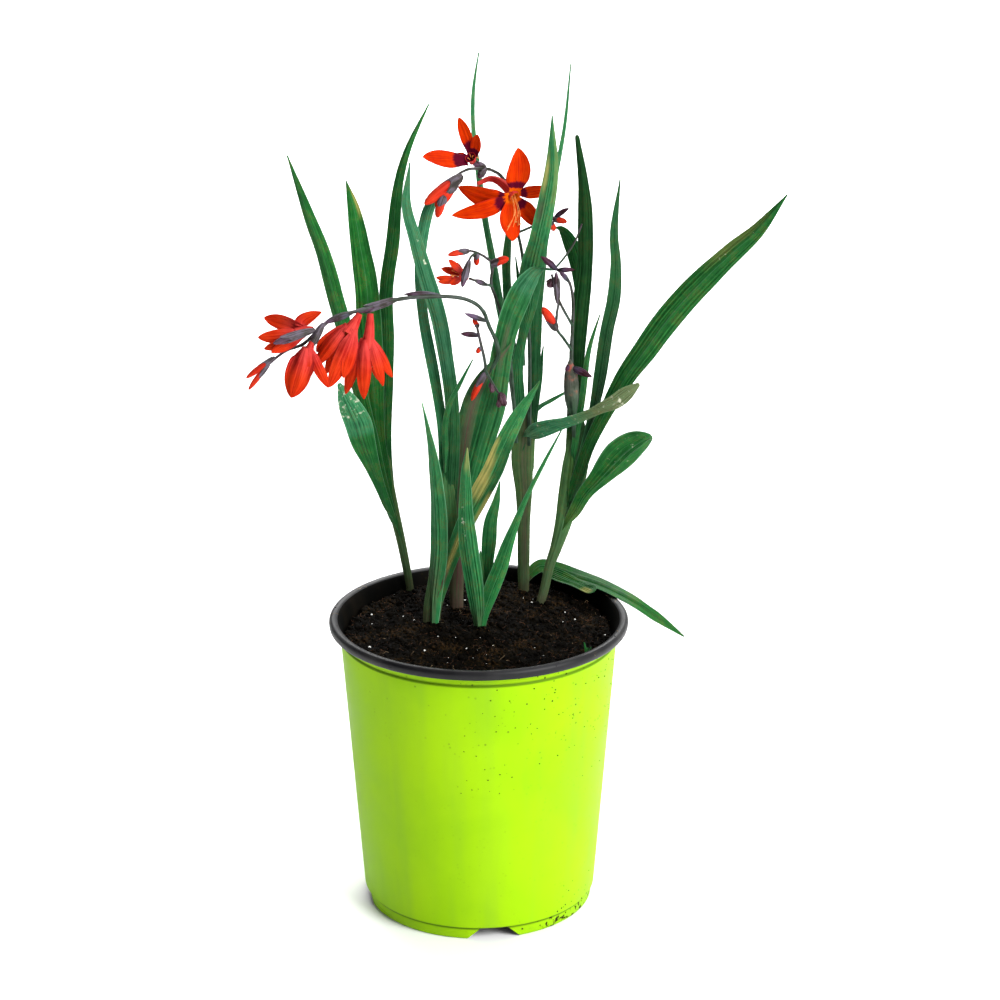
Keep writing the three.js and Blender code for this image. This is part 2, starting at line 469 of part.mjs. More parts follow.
// Each spray: stems as rows of [x, y, z, width], then the calyces, bracts and buds on
// them as [from, to, width].
const SPRAYS = {
  spray_left: {
    socket: "shoot_middle",
    stems: [
      [[6, 34, 305, 2.6], [11, 32.6, 315, 2.4], [10, 30.5, 324, 2.3], [6, 28, 334, 2.2], [3, 24.5, 343, 2.2],
        [-2, 21, 349, 2.2], [-11, 18, 353, 2.2], [-26, 13, 355, 2.2], [-42, 8, 355, 2.2], [-55, 3, 353, 2.2],
        [-66, -1, 350.5, 2], [-78, -4, 348, 2], [-87, -5.5, 341, 2], [-96, -2, 332, 1.8], [-105, -4, 329, 1.6],
        [-113, -8, 324, 1.4]],
    ],
    buds: [
      [[-20, 16, 354.5], [-41, 10.5, 357], 4.6],
      [[-44, 8, 355], [-66, 0, 349.5], 5.4],
      [[-68, -1, 350], [-85, -6, 344.5], 4.4],
      [[-84, -5.5, 345], [-93, -8, 333.5], 3.6],
      [[-90, -7.5, 342], [-112, -19, 337], 5.6],
      [[-111, -7, 326], [-127, -10, 315], 3.6],
      [[-114, -8, 323.5], [-126, -9, 308], 3.2],
      [[5, 26, 337], [-8, 22, 343], 3.4],
    ],
  },
  spray_low: {
    socket: "shoot_middle",
    stems: [
      [[3, 34, 300, 2.2], [4, 31, 308, 1.9], [3, 30, 316, 1.7], [1, 29, 325, 1.6], [-1, 28, 335, 1.4]],
      [[4, 31, 307, 1.7], [8, 28.6, 300, 1.5], [13, 28.4, 292, 1.3]],
    ],
    buds: [
      [[4, 31, 306], [-4, 29, 290], 3.8],
      [[0.5, 29, 328], [-10, 26, 330], 4],
      [[0, 28.5, 333], [-3, 27, 338], 2.8],
      [[1.5, 29.5, 321], [-1, 27, 318.5], 2.8],
      [[7, 29, 301], [8, 28, 295], 3.2],
      [[12, 28.5, 295], [15, 28, 287], 4.6],
      [[13, 28.5, 293], [11, 27.5, 286.5], 3.4],
    ],
  },
  spray_centre: {
    socket: "shoot_rear",
    stems: [
      [[21.5, 64, 254, 2.4], [20, 59, 279, 2.2], [18, 55, 305, 2.1], [16, 52.5, 322, 2], [13, 51, 334, 1.9],
        [9.5, 50, 345, 1.8], [7, 50, 353, 1.7], [8, 50.5, 363, 1.6], [5, 50, 367, 1.5], [-1, 48, 371, 1.4],
        [-7, 46, 373, 1.3]],
      [[7.5, 50, 351, 1.6], [2, 46, 354, 1.5], [-5, 42, 357.5, 1.4]],
      [[-1, 48, 371, 1.3], [-4, 43, 370, 1.3], [-6, 39, 367, 1.3]],
    ],
    buds: [
      [[-5, 46, 372.5], [-17, 42, 371], 3.6],
      [[-1, 47.5, 370.5], [-1, 46, 364], 3.6],
      [[7, 50, 363.5], [17, 49, 367.5], 4.8],
      [[5, 48, 352], [-3, 43.5, 356.5], 3.4],
      [[-5, 40, 368.5], [-9, 32.5, 355], 4.8],
    ],
  },
  spray_top: {
    socket: "shoot_rear",
    stems: [
      [[29, 65, 252, 2.8], [29, 62, 281, 2.4], [29, 64.5, 312, 2.2], [27, 68, 340, 2], [25, 71, 362, 1.9],
        [22, 75, 377, 1.8], [19, 79, 391, 1.8], [16, 81, 402, 1.8], [12, 81, 408, 1.8], [6, 77, 412, 1.8],
        [0, 70, 414, 1.7], [-6, 63, 415, 1.6], [-12, 57, 413, 1.5], [-16, 53, 409, 1.4], [-22, 48, 400, 1.2]],
      [[22.5, 74.5, 376, 1.5], [31, 73, 380, 1.4], [38, 71, 383, 1.4], [45, 69, 387, 1.2]],
    ],
    buds: [
      [[4, 75, 413], [0, 70.5, 408.5], 5.2],
      [[4, 75.5, 413.5], [-3, 71.5, 416], 5],
      [[-9, 58.5, 412.5], [-30, 47, 399], 4.8],
      [[-12, 57, 411], [-22, 50, 397], 5.4],
      [[-19, 50, 403], [-23, 46, 391.5], 4],
      [[-15, 54, 407.5], [-24, 49, 397], 4.6],
      [[43, 69.5, 386], [51, 67, 392], 3.6],
      [[41, 70, 384.5], [41, 67, 388.5], 3.8],
      [[42, 70, 385], [50, 67, 384], 3.6],
      [[40, 70.5, 383.5], [43, 68, 378.5], 3.8],
    ],
  },
  spray_right: {
    socket: "shoot_right",
    stems: [
      [[55, 45, 256, 3], [54, 40.5, 275, 2.6], [53, 38.5, 290, 2.4], [52.5, 38, 303, 2.2], [52.5, 38.5, 320, 2],
        [53, 40, 334, 1.8], [53, 42, 346, 1.7], [51, 43.5, 355, 1.6], [47, 45, 359.5, 1.5], [43, 46, 363, 1.4]],
      [[52.5, 38.2, 317, 1.8], [48, 37, 324, 1.7], [44, 36.5, 330, 1.7], [44, 37.5, 338, 1.5], [45, 39, 346, 1.5],
        [43, 41, 353, 1.4], [41, 42, 360, 1.3]],
      [[53, 38.6, 331, 1.6], [48, 38.5, 340, 1.6], [45, 39, 346, 1.5]],
      [[43, 46, 362.5, 1.3], [48, 47.5, 368, 1.2], [54, 49, 377, 1.1], [58, 50, 387, 0.9]],
    ],
    buds: [
      [[53.5, 40, 276], [51.5, 36.5, 312], 8.6],
      [[44, 36.6, 329], [36, 34, 343], 5.4],
      [[44.5, 38.5, 344], [43.5, 39.5, 362], 4.4],
      [[41, 42, 357.5], [39.5, 41, 352.5], 4.6],
      [[44, 46, 361.5], [35, 43, 370], 4.6],
      [[44, 45.5, 361.5], [54, 46, 361.5], 3.6],
      [[51, 43.5, 355], [45, 44, 361.5], 3.2],
      [[52, 37.5, 307], [64, 31.5, 303], 5],
      [[52, 37.5, 309], [49, 34.5, 305.5], 3.4],
    ],
  },
};

// A spray as one body. Grown by `grow`, it is the socket that its stalk leaves for it.
function sprayBody(spray, grow = 0) {
  const thicken = (rows) => rows.map(([x, y, z, w]) => [x, y, z, w + 2 * grow]);
  const pieces = spray.stems.map((rows) => bar(thicken(rows)));
  if (grow > 0) {
    const [foot, next] = spray.stems[0];
    const rise = vec(next).sub(vec(foot)).normalize();
    const below = vec(foot).addScaledVector(rise, -grow);
    const above = vec(foot).addScaledVector(rise, 1);
    pieces.push(bar(thicken([[...below, foot[3]], [...above, foot[3]]]), { steps: 1 }));
  }
  for (const [from, to, width] of spray.buds) {
    const reach = vec(to).sub(vec(from)).setLength(grow);
    const ends = [vec(from).sub(reach), vec(to).add(reach)].map((p) => p.toArray());
    pieces.push(spindle(...ends, width + 2 * grow));
  }
  return join(pieces);
}

// Each bloom: the run of its tube from the calyx to the throat, its petals as rows of
// [x, y, z, width] at their tips, how far they run on before they open, as a share of their
// length, and how far its filaments hang from the throat.
const BLOOMS = {
  bloom_left_outer: {
    run: [[-90, -5.9, 342.1], [-95, -4.6, 341], [-99, -4.8, 339.2]],
    petals: [[-117.2, 0, 346.4, 9], [-120.1, -8, 337.6, 8], [-116.6, -12, 332.2, 6.5], [-112.7, -14, 330.8, 6.5],
      [-85.7, 2, 349.2, 7.7], [-106.2, 3.5, 335, 6.6]],
    lift: 0.12,
    stamens: 3,
    hang: [-9, -2, -1],
  },
  bloom_left_lower: {
    run: [[-90.5, -9.6, 335.6], [-92, -12, 332.2], [-93.7, -13.5, 328.7]],
    petals: [[-102.1, -18, 307.8, 12.6], [-92, -18, 318.5, 6], [-97.8, -8, 308.8, 7.7], [-102.9, -10, 317.4, 6.6],
      [-95.5, -21, 314, 7], [-93.5, -6, 316, 5]],
    lift: 0.22,
    stamens: 3,
    hang: [-3, -2, -13],
  },
  bloom_left_inner: {
    run: [[-64.6, -2.1, 349.3], [-70.4, -6, 341.3], [-79.1, -9, 333]],
    petals: [[-87.5, -7, 320, 7.1], [-80.7, -18, 311.8, 7.1], [-73.6, -16, 316.9, 6.6], [-84, -4, 315.5, 6.6],
      [-75.1, -8, 317.9, 6.6], [-88, -5, 327, 6]],
    lift: 0.22,
    stamens: 3,
    hang: [-6, -6, -12],
  },
  bloom_left_hanging: {
    run: [[-59, 1.6, 348.4], [-59.5, 0.5, 337], [-61.1, 0, 327]],
    petals: [[-47.4, -2, 313, 6.1], [-52.2, -8, 309.9, 6], [-62.7, -9, 302.7, 8.2], [-72.8, -4, 304.1, 8.3],
      [-69.9, 6, 308.5, 6.6], [-55.5, 6, 309.1, 6.6]],
    lift: 0.22,
    stamens: 3,
    hang: [-1, -3, -16],
  },
  bloom_top_left: {
    run: [[-4.1, 70.7, 416.7], [-3.5, 69.5, 419], [-4.5, 67.5, 421]],
    petals: [[-30.9, 58, 423.6, 9.5], [-10.8, 63, 444.3, 6.1], [-0.5, 66, 434.6, 5.6], [0.2, 80, 427.7, 6.8],
      [-18.4, 78, 417.2, 6.8], [-16, 76, 424, 5.7]],
    lift: 0.06,
    stamens: 3,
    hang: [-6, -5, 6],
  },
  bloom_top_front: {
    run: [[-0.5, 69, 405.5], [7, 73, 407.5], [14, 71.5, 404.5], [20.3, 64, 399.1]],
    petals: [[22.4, 61, 427.8, 12.8], [41.9, 66, 403.2, 6.8], [35.2, 58, 383.3, 9], [19.4, 55, 375.9, 11.8],
      [-14.9, 58, 389.9, 8.4], [-11.6, 68, 403.9, 8.5]],
    lift: 0.03,
    stamens: 6,
    hang: [-1, -6, -17],
  },
  bloom_centre: {
    run: [[-5.6, 41.9, 357.7], [-8.5, 42, 358.6], [-11, 42, 359.3]],
    petals: [[-23.6, 40, 358.9, 4.5], [-16.6, 43, 367.9, 4.5], [-20.9, 46, 362.3, 4.5], [-16.3, 37, 356, 3.9],
      [-13.1, 48, 365.2, 3.9], [-22.5, 39, 356.6, 3.9]],
    lift: 0.2,
    stamens: 3,
    hang: [-6, -1, -1],
  },
};

// How wide a petal is along its length, as a share of its full width.
const petalShape = (t) => Math.max(0.12, Math.sin(Math.PI * (0.14 + 0.83 * t ** 1.5)));

function petal(throat, axis, lift, [x, y, z, width]) {
  const tip = new THREE.Vector3(x, y, z);
  const reach = tip.clone().sub(throat);
  const radial = reach.clone().addScaledVector(axis, -reach.dot(axis)).normalize();
  const across = new THREE.Vector3().crossVectors(axis, radial);
  const root = throat.clone().addScaledVector(axis, -1.6).addScaledVector(radial, 2);
  const elbow = throat.clone().addScaledVector(axis, lift * reach.length()).addScaledVector(radial, 0.4 * reach.length());
  const curve = new THREE.QuadraticBezierCurve3(root, elbow, tip);
  const steps = 4;
  const rib = Array.from({ length: steps + 1 }, (_, k) => {
    const p = curve.getPoint(k / steps);
    return [p.x, p.y, p.z, width * petalShape(k / steps)];
  });
  return blade(rib, () => across.clone(), { fold: 0.08, edge: PETAL_EDGE, core: PETAL_RIB, steps });
}

// One filament, from inside the throat to its tip, `hang` away from the throat.
function stamen(throat, axis, hang, index, count) {
  const angle = ((index + 0.5) / count) * 2 * Math.PI;
  const across = new THREE.Vector3().crossVectors(axis, UP).normalize();
  const over = new THREE.Vector3().crossVectors(across, axis);
  const spot = (forward, share, out) => throat.clone()
    .addScaledVector(axis, forward)
    .addScaledVector(vec(hang), share)
    .addScaledVector(across, out * Math.cos(angle))
    .addScaledVector(over, out * Math.sin(angle));
  const rows = [spot(-1.6, 0, 1), spot(3, 0.4, 1.5), spot(0, 1, 2.4)].map((p) => [p.x, p.y, p.z, 0.9]);
  return bar(rows, { sides: 3, steps: 3 });
}

function bloomBody({ run, petals, lift, stamens, hang }) {
  const throat = vec(run[run.length - 1]);
  const axis = throat.clone().sub(vec(run[run.length - 2])).normalize();
  const rows = run.map((p, i) => [...p, mix(2.2, 6.4, (i / (run.length - 1)) ** 1.5)]);
  const pieces = [bar(rows, { sides: 7, steps: 3 })];
  for (const tip of petals) pieces.push(petal(throat, axis, lift, tip));
  for (let i = 0; i < stamens; i += 1) pieces.push(stamen(throat, axis, hang, i, stamens));
  return join(pieces);
}

function build() {
  const bodies = Object.fromEntries(Object.entries(SHOOTS).map(([name, shoot]) => [name, shootBody(shoot)]));
  bodies.shoot_rear = bodies.shoot_rear.add(fallenLeaf(FALLEN));
  for (const spray of Object.values(SPRAYS)) {
    bodies[spray.socket] = bodies[spray.socket].subtract(sprayBody(spray, GAP));
  }
  place("pot", pot(), FINISH.pot);
  place("soil", soil(SHOOTS), FINISH.soil);
  for (const [name, body] of Object.entries(bodies)) {
    place(name, body, name === "shoot_rear" ? FINISH.shade : FINISH.leaf);
  }
  for (const [name, spray] of Object.entries(SPRAYS)) place(name, sprayBody(spray), FINISH.spray);
  for (const [name, bloom] of Object.entries(BLOOMS)) place(name, bloomBody(bloom), FINISH.bloom);
}

build();

export default group;
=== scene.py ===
"""A crocosmia with carmine-orange flowers, growing in a lime-green nursery pot.

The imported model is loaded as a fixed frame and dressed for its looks: finer leaves, sprays
and flowers, a moulded pot with a rolled rim, crumbly soil, and a plain studio. Lengths in the
tables and on the classes are millimetres, in the frame's own axes: +Z up, and the plant's
open side towards -Y. Meshes are written in metres.
"""

import logging
import math
from collections.abc import Callable, Sequence
from dataclasses import dataclass, field
from enum import Enum, IntEnum
from functools import reduce

import bmesh
import bpy
import numpy as np
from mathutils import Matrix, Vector, noise


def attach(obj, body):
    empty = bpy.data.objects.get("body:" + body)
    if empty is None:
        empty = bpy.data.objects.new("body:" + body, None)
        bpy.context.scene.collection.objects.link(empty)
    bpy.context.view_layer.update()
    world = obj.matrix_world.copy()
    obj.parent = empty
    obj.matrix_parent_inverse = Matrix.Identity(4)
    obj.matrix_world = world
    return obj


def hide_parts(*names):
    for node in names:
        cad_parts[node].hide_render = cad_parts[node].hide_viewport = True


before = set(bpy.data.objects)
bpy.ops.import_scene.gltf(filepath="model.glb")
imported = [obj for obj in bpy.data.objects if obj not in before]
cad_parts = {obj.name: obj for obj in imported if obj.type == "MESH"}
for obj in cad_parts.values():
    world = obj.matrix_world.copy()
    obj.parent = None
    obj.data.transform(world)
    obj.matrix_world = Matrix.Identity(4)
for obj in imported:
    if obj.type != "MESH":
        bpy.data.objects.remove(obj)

LOG = logging.getLogger("crocosmia")
MM = 0.001
ROOT = "root"
UP = np.array((0.0, 0.0, 1.0))

Pair = tuple[float, float]
Row = tuple[float, ...]
Colour = tuple[float, float, float, float]
Material = bpy.types.Material
Object = bpy.types.Object
Shape = bmesh.types.BMesh
Face = bpy.types.MeshPolygon
Socket = bpy.types.NodeSocket
Key = str | int
Points = np.ndarray
Rows = tuple[Row, ...]
Value = Socket | Material | float | Sequence[float] | None


def tint(red: float, green: float, blue: float) -> Colour:
    """Turns a colour's screen values into the linear ones that a shader takes.

    Args:
        red: Red, 0 to 255.
        green: Green, 0 to 255.
        blue: Blue, 0 to 255.

    Returns:
        The linear colour with a full alpha.
    """
    shares = np.array((red, green, blue)) / 255
    linear = np.where(shares <= 0.04045, shares / 12.92, ((shares + 0.055) / 1.055) ** 2.4)
    return (*(float(value) for value in linear), 1.0)


def smooth(value: Points | float, low: float, high: float) -> Points:
    """Grades numbers softly, from 0 at `low` to 1 at `high`."""
    share = np.clip((np.asarray(value, float) - low) / (high - low), 0, 1)
    return share * share * (3 - 2 * share)


def along(rows: Points, t: float) -> Points:
    """Reads one row of a smooth curve through rows of numbers.

    Args:
        rows: The rows that the curve passes through.
        t: How far along, from 0 to 1.

    Returns:
        The row at that place.
    """
    last = len(rows) - 1
    place = min(max(t, 0.0), 1.0) * last
    i = min(int(place), last - 1)
    f = place - i
    b, c = rows[i], rows[i + 1]
    a = rows[i - 1] if i > 0 else 2 * b - c
    d = rows[i + 2] if i + 2 <= last else 2 * c - b
    cubic = (3 * b - a - 3 * c + d) * f + (2 * a - 5 * b + 4 * c - d)
    return b + 0.5 * f * (c - a + f * cubic)


def unit(vector: Points) -> Points:
    """Gives a vector the length 1."""
    return vector / max(float(np.linalg.norm(vector)), 1e-9)


def heading(rows: Points, t: float) -> Points:
    """Gives the direction of a curve through rows of numbers, at a share of its run."""
    return unit(along(rows, t + 0.01)[:3] - along(rows, t - 0.01)[:3])


def run_length(rows: Points) -> float:
    """Measures the straight runs between rows of points, in millimetres."""
    return float(np.linalg.norm(np.diff(rows[:, :3], axis=0), axis=1).sum())


def turns(sides: int) -> Points:
    """Gives the angles of the points round a ring."""
    return (np.arange(sides) + 0.5) / sides * 2 * math.pi


def mirrored(sides: int) -> Points:
    """Gives places round a ring that run up to 1 and back, so that they meet without a seam."""
    return 1 - np.abs(1 - turns(sides) / math.pi)


def squared(across: Points, tangent: Points) -> tuple[Points, Points]:
    """Sets a direction of width square to a run, and gives the direction of depth with it."""
    across = unit(across - tangent * float(across @ tangent))
    return across, np.cross(tangent, across)


def ring(centre: Points, across: Points, normal: Points, wide: Value, deep: Value, sides: int) -> Points:
    """Makes the points of a ring, with half its width and depth, or one such number for each point."""
    turn = turns(sides)
    return centre + (wide * np.cos(turn))[:, None] * across + (deep * np.sin(turn))[:, None] * normal


def gridded(places: Points, runs: Points) -> Points:
    """Pairs the places round a shell with the runs along it, as (rings, points round, 2)."""
    return np.stack(np.broadcast_arrays(places[None], runs[:, None]), -1)


def blended(foot: Row, tip: Row, shares: Points) -> Points:
    """Gives each ring its tones, from those at the foot to those at the tip."""
    return np.array(foot) + (np.array(tip) - np.array(foot)) * shares[:, None, None]


class Sheet:
    """A thin blade in the making: points on both its faces, ring by ring."""

    def __init__(self) -> None:
        """Starts an empty blade."""
        self.rings: list[Points] = []
        self.spots: list[Points] = []
        self.tones: list[Points] = []

    def add(self, base: Points, step: Points, run: float, front: Points, back: Points) -> None:
        """Adds one ring.

        Args:
            base: The points of its middle layer, from side to side.
            step: The step from each of them to the front face.
            run: How far along the blade it is, which sets its streaks.
            front: The tones of the front face.
            back: The tones of the back.
        """
        spot = np.stack([np.linspace(0, 1, len(base)), np.full(len(base), run)], -1)
        self.rings.append(np.concatenate([base + step, (base - step)[::-1]]))
        self.spots.append(np.concatenate([spot, spot[::-1]]))
        self.tones.append(np.concatenate([front, back[::-1]]))


@dataclass
class Surface:
    """Collects closed shells, in millimetres, into one mesh.

    Each point carries its place on the shell, as (across, along), and five tones: yellow,
    brown, pale, light and blue on leaves, with other readings on buds and petals. On leaves the
    light tone is painted light and shade, and the blue tone is partly painted sheen.
    """

    points: list[Points] = field(default_factory=list)
    spots: list[Points] = field(default_factory=list)
    tones: list[Points] = field(default_factory=list)
    faces: list[list[int]] = field(default_factory=list)
    finishes: list[int] = field(default_factory=list)
    count: int = 0

    def shell(self, rings: Points, spots: Points, tones: Points, finish: int = 0) -> None:
        """Adds one closed tube through rings of points, with both its ends closed.

        Args:
            rings: The points, as (rings, points round, 3).
            spots: Each point's place on the surface, as (rings, points round, 2).
            tones: Each point's tones, in a shape that broadcasts to (rings, points round, 5).
            finish: The index of its material.
        """
        levels, sides, _ = rings.shape
        last = (levels - 1) * sides
        tones = np.broadcast_to(tones, (levels, sides, 5))

        def with_tips(values: Points) -> Points:
            """Appends the mean of the first and of the last ring to a ring table."""
            flat = values.reshape(-1, values.shape[-1])
            return np.concatenate([flat, values[0].mean(0)[None], values[-1].mean(0)[None]])

        points = with_tips(rings)
        turn = np.arange(sides)
        after = (turn + 1) % sides
        low = np.arange(levels - 1)[:, None] * sides
        quads = np.stack([low + turn, low + after, low + after + sides, low + turn + sides], -1)
        quads = quads.reshape(-1, 4)
        first = np.stack([np.full(sides, last + sides), after, turn], -1)
        final = np.stack([np.full(sides, last + sides + 1), last + turn, last + after], -1)
        caps = np.concatenate([first, final])
        corners = np.concatenate([quads[:, :3], quads[:, [0, 2, 3]], caps])
        a, b, c = (points[corners[:, k]] for k in range(3))
        if float(np.einsum("ij,ij->i", a, np.cross(b, c)).sum()) < 0:
            quads, caps = quads[:, ::-1], caps[:, ::-1]
        self.points.append(points)
        self.spots.append(with_tips(spots))
        self.tones.append(with_tips(tones))
        self.faces += (quads + self.count).tolist() + (caps + self.count).tolist()
        self.finishes += [finish] * (len(quads) + len(caps))
        self.count += len(points)

    def blade(self, sheet: Sheet, finish: int = 0) -> None:
        """Adds a finished blade."""
        self.shell(np.array(sheet.rings), np.array(sheet.spots), np.array(sheet.tones), finish)

    def piece(self, name: str, materials: Sequence[Material], sharp: float = 48) -> Object:
        """Makes the mesh object, at the origin, with the surface's places and tones on it.

        Args:
            name: The object's name.
            materials: Its materials, in the order of the finish indices.
            sharp: The angle between faces, in degrees, from which an edge stays crisp.

        Returns:
            The new object.
        """
        mesh = bpy.data.meshes.new(name)
        mesh.from_pydata((np.concatenate(self.points) * MM).tolist(), [], self.faces)
        for material in materials:
            mesh.materials.append(material)
        mesh.polygons.foreach_set("material_index", self.finishes)
        corners = np.empty(len(mesh.loops), dtype=np.int32)
        mesh.loops.foreach_get("vertex_index", corners)
        places = mesh.uv_layers.new(name="blade")
        places.data.foreach_set("uv", np.concatenate(self.spots)[corners].astype(np.float32).ravel())
        tones = np.concatenate(self.tones).astype(np.float32)
        tone = mesh.attributes.new("tone", "FLOAT_COLOR", "POINT")
        tone.data.foreach_set("color", np.ascontiguousarray(tones[:, :4]).ravel())
        blue = mesh.attributes.new("blue", "FLOAT", "POINT")
        blue.data.foreach_set("value", np.ascontiguousarray(tones[:, 4]).ravel())
        return finished(name, mesh, sharp)


def placed(name: str, data: bpy.types.ID) -> Object:
    """Puts an object in the scene.

    Args:
        name: Its name.
        data: Its mesh, lamp or camera.

    Returns:
        The object.
    """
    item = bpy.data.objects.new(name, data)
    bpy.context.scene.collection.objects.link(item)
    return item


def finished(name: str, mesh: bpy.types.Mesh, sharp: float) -> Object:
    """Smooths a mesh but for its crisp edges and puts it in the scene.

    Args:
        name: The object's name.
        mesh: Its mesh, in place.
        sharp: The angle between faces, in degrees, from which an edge stays crisp.

    Returns:
        The new object.
    """
    mesh.validate()
    mesh.shade_smooth()
    mesh.set_sharp_from_angle(angle=math.radians(sharp))
    return placed(name, mesh)


def declare(item: Object, slot: str, *nodes: str) -> None:
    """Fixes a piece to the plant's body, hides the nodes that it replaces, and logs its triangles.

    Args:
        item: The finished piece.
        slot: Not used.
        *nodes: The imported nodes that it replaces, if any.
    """
    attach(item, ROOT)
    if nodes:
        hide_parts(*nodes)
    triangles = sum(len(face.vertices) - 2 for face in item.data.polygons)
    LOG.info("%s: %d triangles", item.name, triangles)


class Tree:
    """A node tree in the making. Its methods add nodes and give back their results."""

    def __init__(self, tree: bpy.types.NodeTree) -> None:
        """Starts with an empty tree."""
        self.tree = tree
        tree.nodes.clear()

    def feed(self, socket: Socket, value: Value) -> None:
        """Links a socket to a node's result, or sets its value.

        Args:
            socket: The socket.
            value: The result or the value.
        """
        if isinstance(value, Socket):
            self.tree.links.new(value, socket)
        else:
            socket.default_value = value

    def node(self, kind: str, feeds: dict[Key, Value], result: Key = 0, **settings: Value) -> Socket:
        """Adds a node.

        Args:
            kind: The node's type.
            feeds: Its inputs by name or number, and their values.
            result: Which of its results is wanted.
            **settings: Its properties.

        Returns:
            The result.
        """
        node = self.tree.nodes.new(kind)
        for name, value in settings.items():
            setattr(node, name, value)
        for name, value in feeds.items():
            self.feed(node.inputs[name], value)
        return node.outputs[result]

    def scaled(self, vector: Value, factor: Value) -> Socket:
        """Multiplies a vector, or a colour's brightness."""
        return self.node("ShaderNodeVectorMath", {0: vector, "Scale": factor}, operation="SCALE")


class Paint(Tree):
    """One material in the making."""

    def __init__(self, name: str) -> None:
        """Starts a material.

        Args:
            name: The material's name.
        """
        self.material = bpy.data.materials.new(name)
        self.material.use_nodes = True
        super().__init__(self.material.node_tree)
        self.place = self.node("ShaderNodeTexCoord", {}, "Object")

    def shade(self, colour: Value, rough: Value, relief: Value = None, gloss: float = 0.5) -> Material:
        """Adds the shader and finishes the material.

        Args:
            colour: The base colour.
            rough: The roughness.
            relief: The bent normal, if any.
            gloss: How strong the reflection is.

        Returns:
            The finished material.
        """
        feeds = {"Base Color": colour, "Roughness": rough, "Specular IOR Level": gloss}
        if relief:
            feeds["Normal"] = relief
        shader = self.node("ShaderNodeBsdfPrincipled", feeds, "BSDF")
        self.feed(self.tree.nodes.new("ShaderNodeOutputMaterial").inputs["Surface"], shader)
        return self.material

    def calc(self, operation: str, a: Value, b: Value = 0.0, clamp: bool = False) -> Socket:
        """Does one sum with two numbers, and may keep the result from 0 to 1."""
        return self.node("ShaderNodeMath", {0: a, 1: b}, operation=operation, use_clamp=clamp)

    def times(self, a: Value, b: Value) -> Socket:
        """Multiplies two numbers."""
        return self.calc("MULTIPLY", a, b)

    def plus(self, a: Value, b: Value) -> Socket:
        """Adds two numbers."""
        return self.calc("ADD", a, b)

    def total(self, *parts: tuple[Value, float]) -> Socket:
        """Adds up numbers, each times its own weight."""
        first, *others = (self.times(value, weight) for value, weight in parts)
        return reduce(self.plus, others, first)

    def apart(self, value: Value, middle: float) -> Socket:
        """Gives how far a number is from another one."""
        return self.calc("ABSOLUTE", self.calc("SUBTRACT", value, middle))

    def span(self, value: Value, low: float, high: float, start: float = 0, end: float = 1) -> Socket:
        """Grades a number softly, from `start` at `low` to `end` at `high`."""
        feeds = dict(enumerate((value, low, high, start, end)))
        return self.node("ShaderNodeMapRange", feeds, interpolation_type="SMOOTHSTEP")

    def blend(self, share: Value, a: Value, b: Value) -> Socket:
        """Mixes a share of the second colour into the first."""
        return self.node("ShaderNodeMix", {0: share, 6: a, 7: b}, 2, data_type="RGBA")

    def mark(self, colour: Value, tone: Value, uneven: Value, over: Colour) -> Socket:
        """Covers a colour with another one, unevenly, where a tone is strong."""
        return self.blend(self.calc("MULTIPLY", tone, uneven, clamp=True), colour, over)

    def ramp(self, share: Value, *stops: tuple[float, Colour]) -> Socket:
        """Reads a colour off a row of colour stops.

        Args:
            share: Where to read, from 0 to 1.
            *stops: Places with their colours, in order.

        Returns:
            The colour.
        """
        result = self.node("ShaderNodeValToRGB", {0: share})
        elements = result.node.color_ramp.elements
        while len(elements) < len(stops):
            elements.new(0.5)
        for element, (place, colour) in zip(elements, stops):
            element.position = place
            element.color = colour
        return result

    def light(self, colour: Value, tone: Value, rate: float = 1.7, least: float = 0.15) -> Socket:
        """Makes a colour as bright as the light tone says."""
        return self.scaled(colour, self.plus(self.times(tone, rate), least))

    def parts(self, place: Socket) -> tuple[Socket, ...]:
        """Splits a place into its three numbers."""
        return tuple(self.node("ShaderNodeSeparateXYZ", {0: place}).node.outputs)

    def grain(self, scale: float, detail: float = 2.0, twist: float = 0.0, place: Value = None) -> Socket:
        """Adds a soft noise from 0 to 1, with its finer layers and its distortion."""
        feeds = {"Vector": place or self.place, "Scale": scale, "Detail": detail, "Distortion": twist}
        return self.node("ShaderNodeTexNoise", feeds, "Fac")

    def streaks(self, detail: float, *axes: tuple[Value, float]) -> Socket:
        """Adds a soft noise that is stretched: each number is read at its own rate."""
        feeds = {k: self.times(value, rate) for k, (value, rate) in enumerate(axes)}
        return self.grain(1.0, detail, place=self.node("ShaderNodeCombineXYZ", feeds))

    def spots(self, scale: float) -> Socket:
        """Gives the distance to the nearest of many scattered points."""
        return self.node("ShaderNodeTexVoronoi", {"Vector": self.place, "Scale": scale}, "Distance")

    def blade(self) -> tuple[Socket, ...]:
        """Gives the place on a shell: across it, and along it."""
        return self.parts(self.node("ShaderNodeUVMap", {}, uv_map="blade"))[:2]

    def tones(self) -> tuple[Socket, ...]:
        """Reads what a shell's points carry.

        Returns:
            Its five tones.
        """
        colour = self.node("ShaderNodeAttribute", {}, "Color", attribute_name="tone")
        blue = self.node("ShaderNodeAttribute", {}, "Fac", attribute_name="blue")
        return (*self.parts(colour), colour.node.outputs["Alpha"], blue)

    def bump(self, height: Value, depth: float, strength: float = 1.0) -> Socket:
        """Roughens the surface by a relief of some depth, in millimetres, and bends its normal."""
        feeds = {"Strength": strength, "Distance": depth * MM, "Height": height}
        return self.node("ShaderNodeBump", feeds)


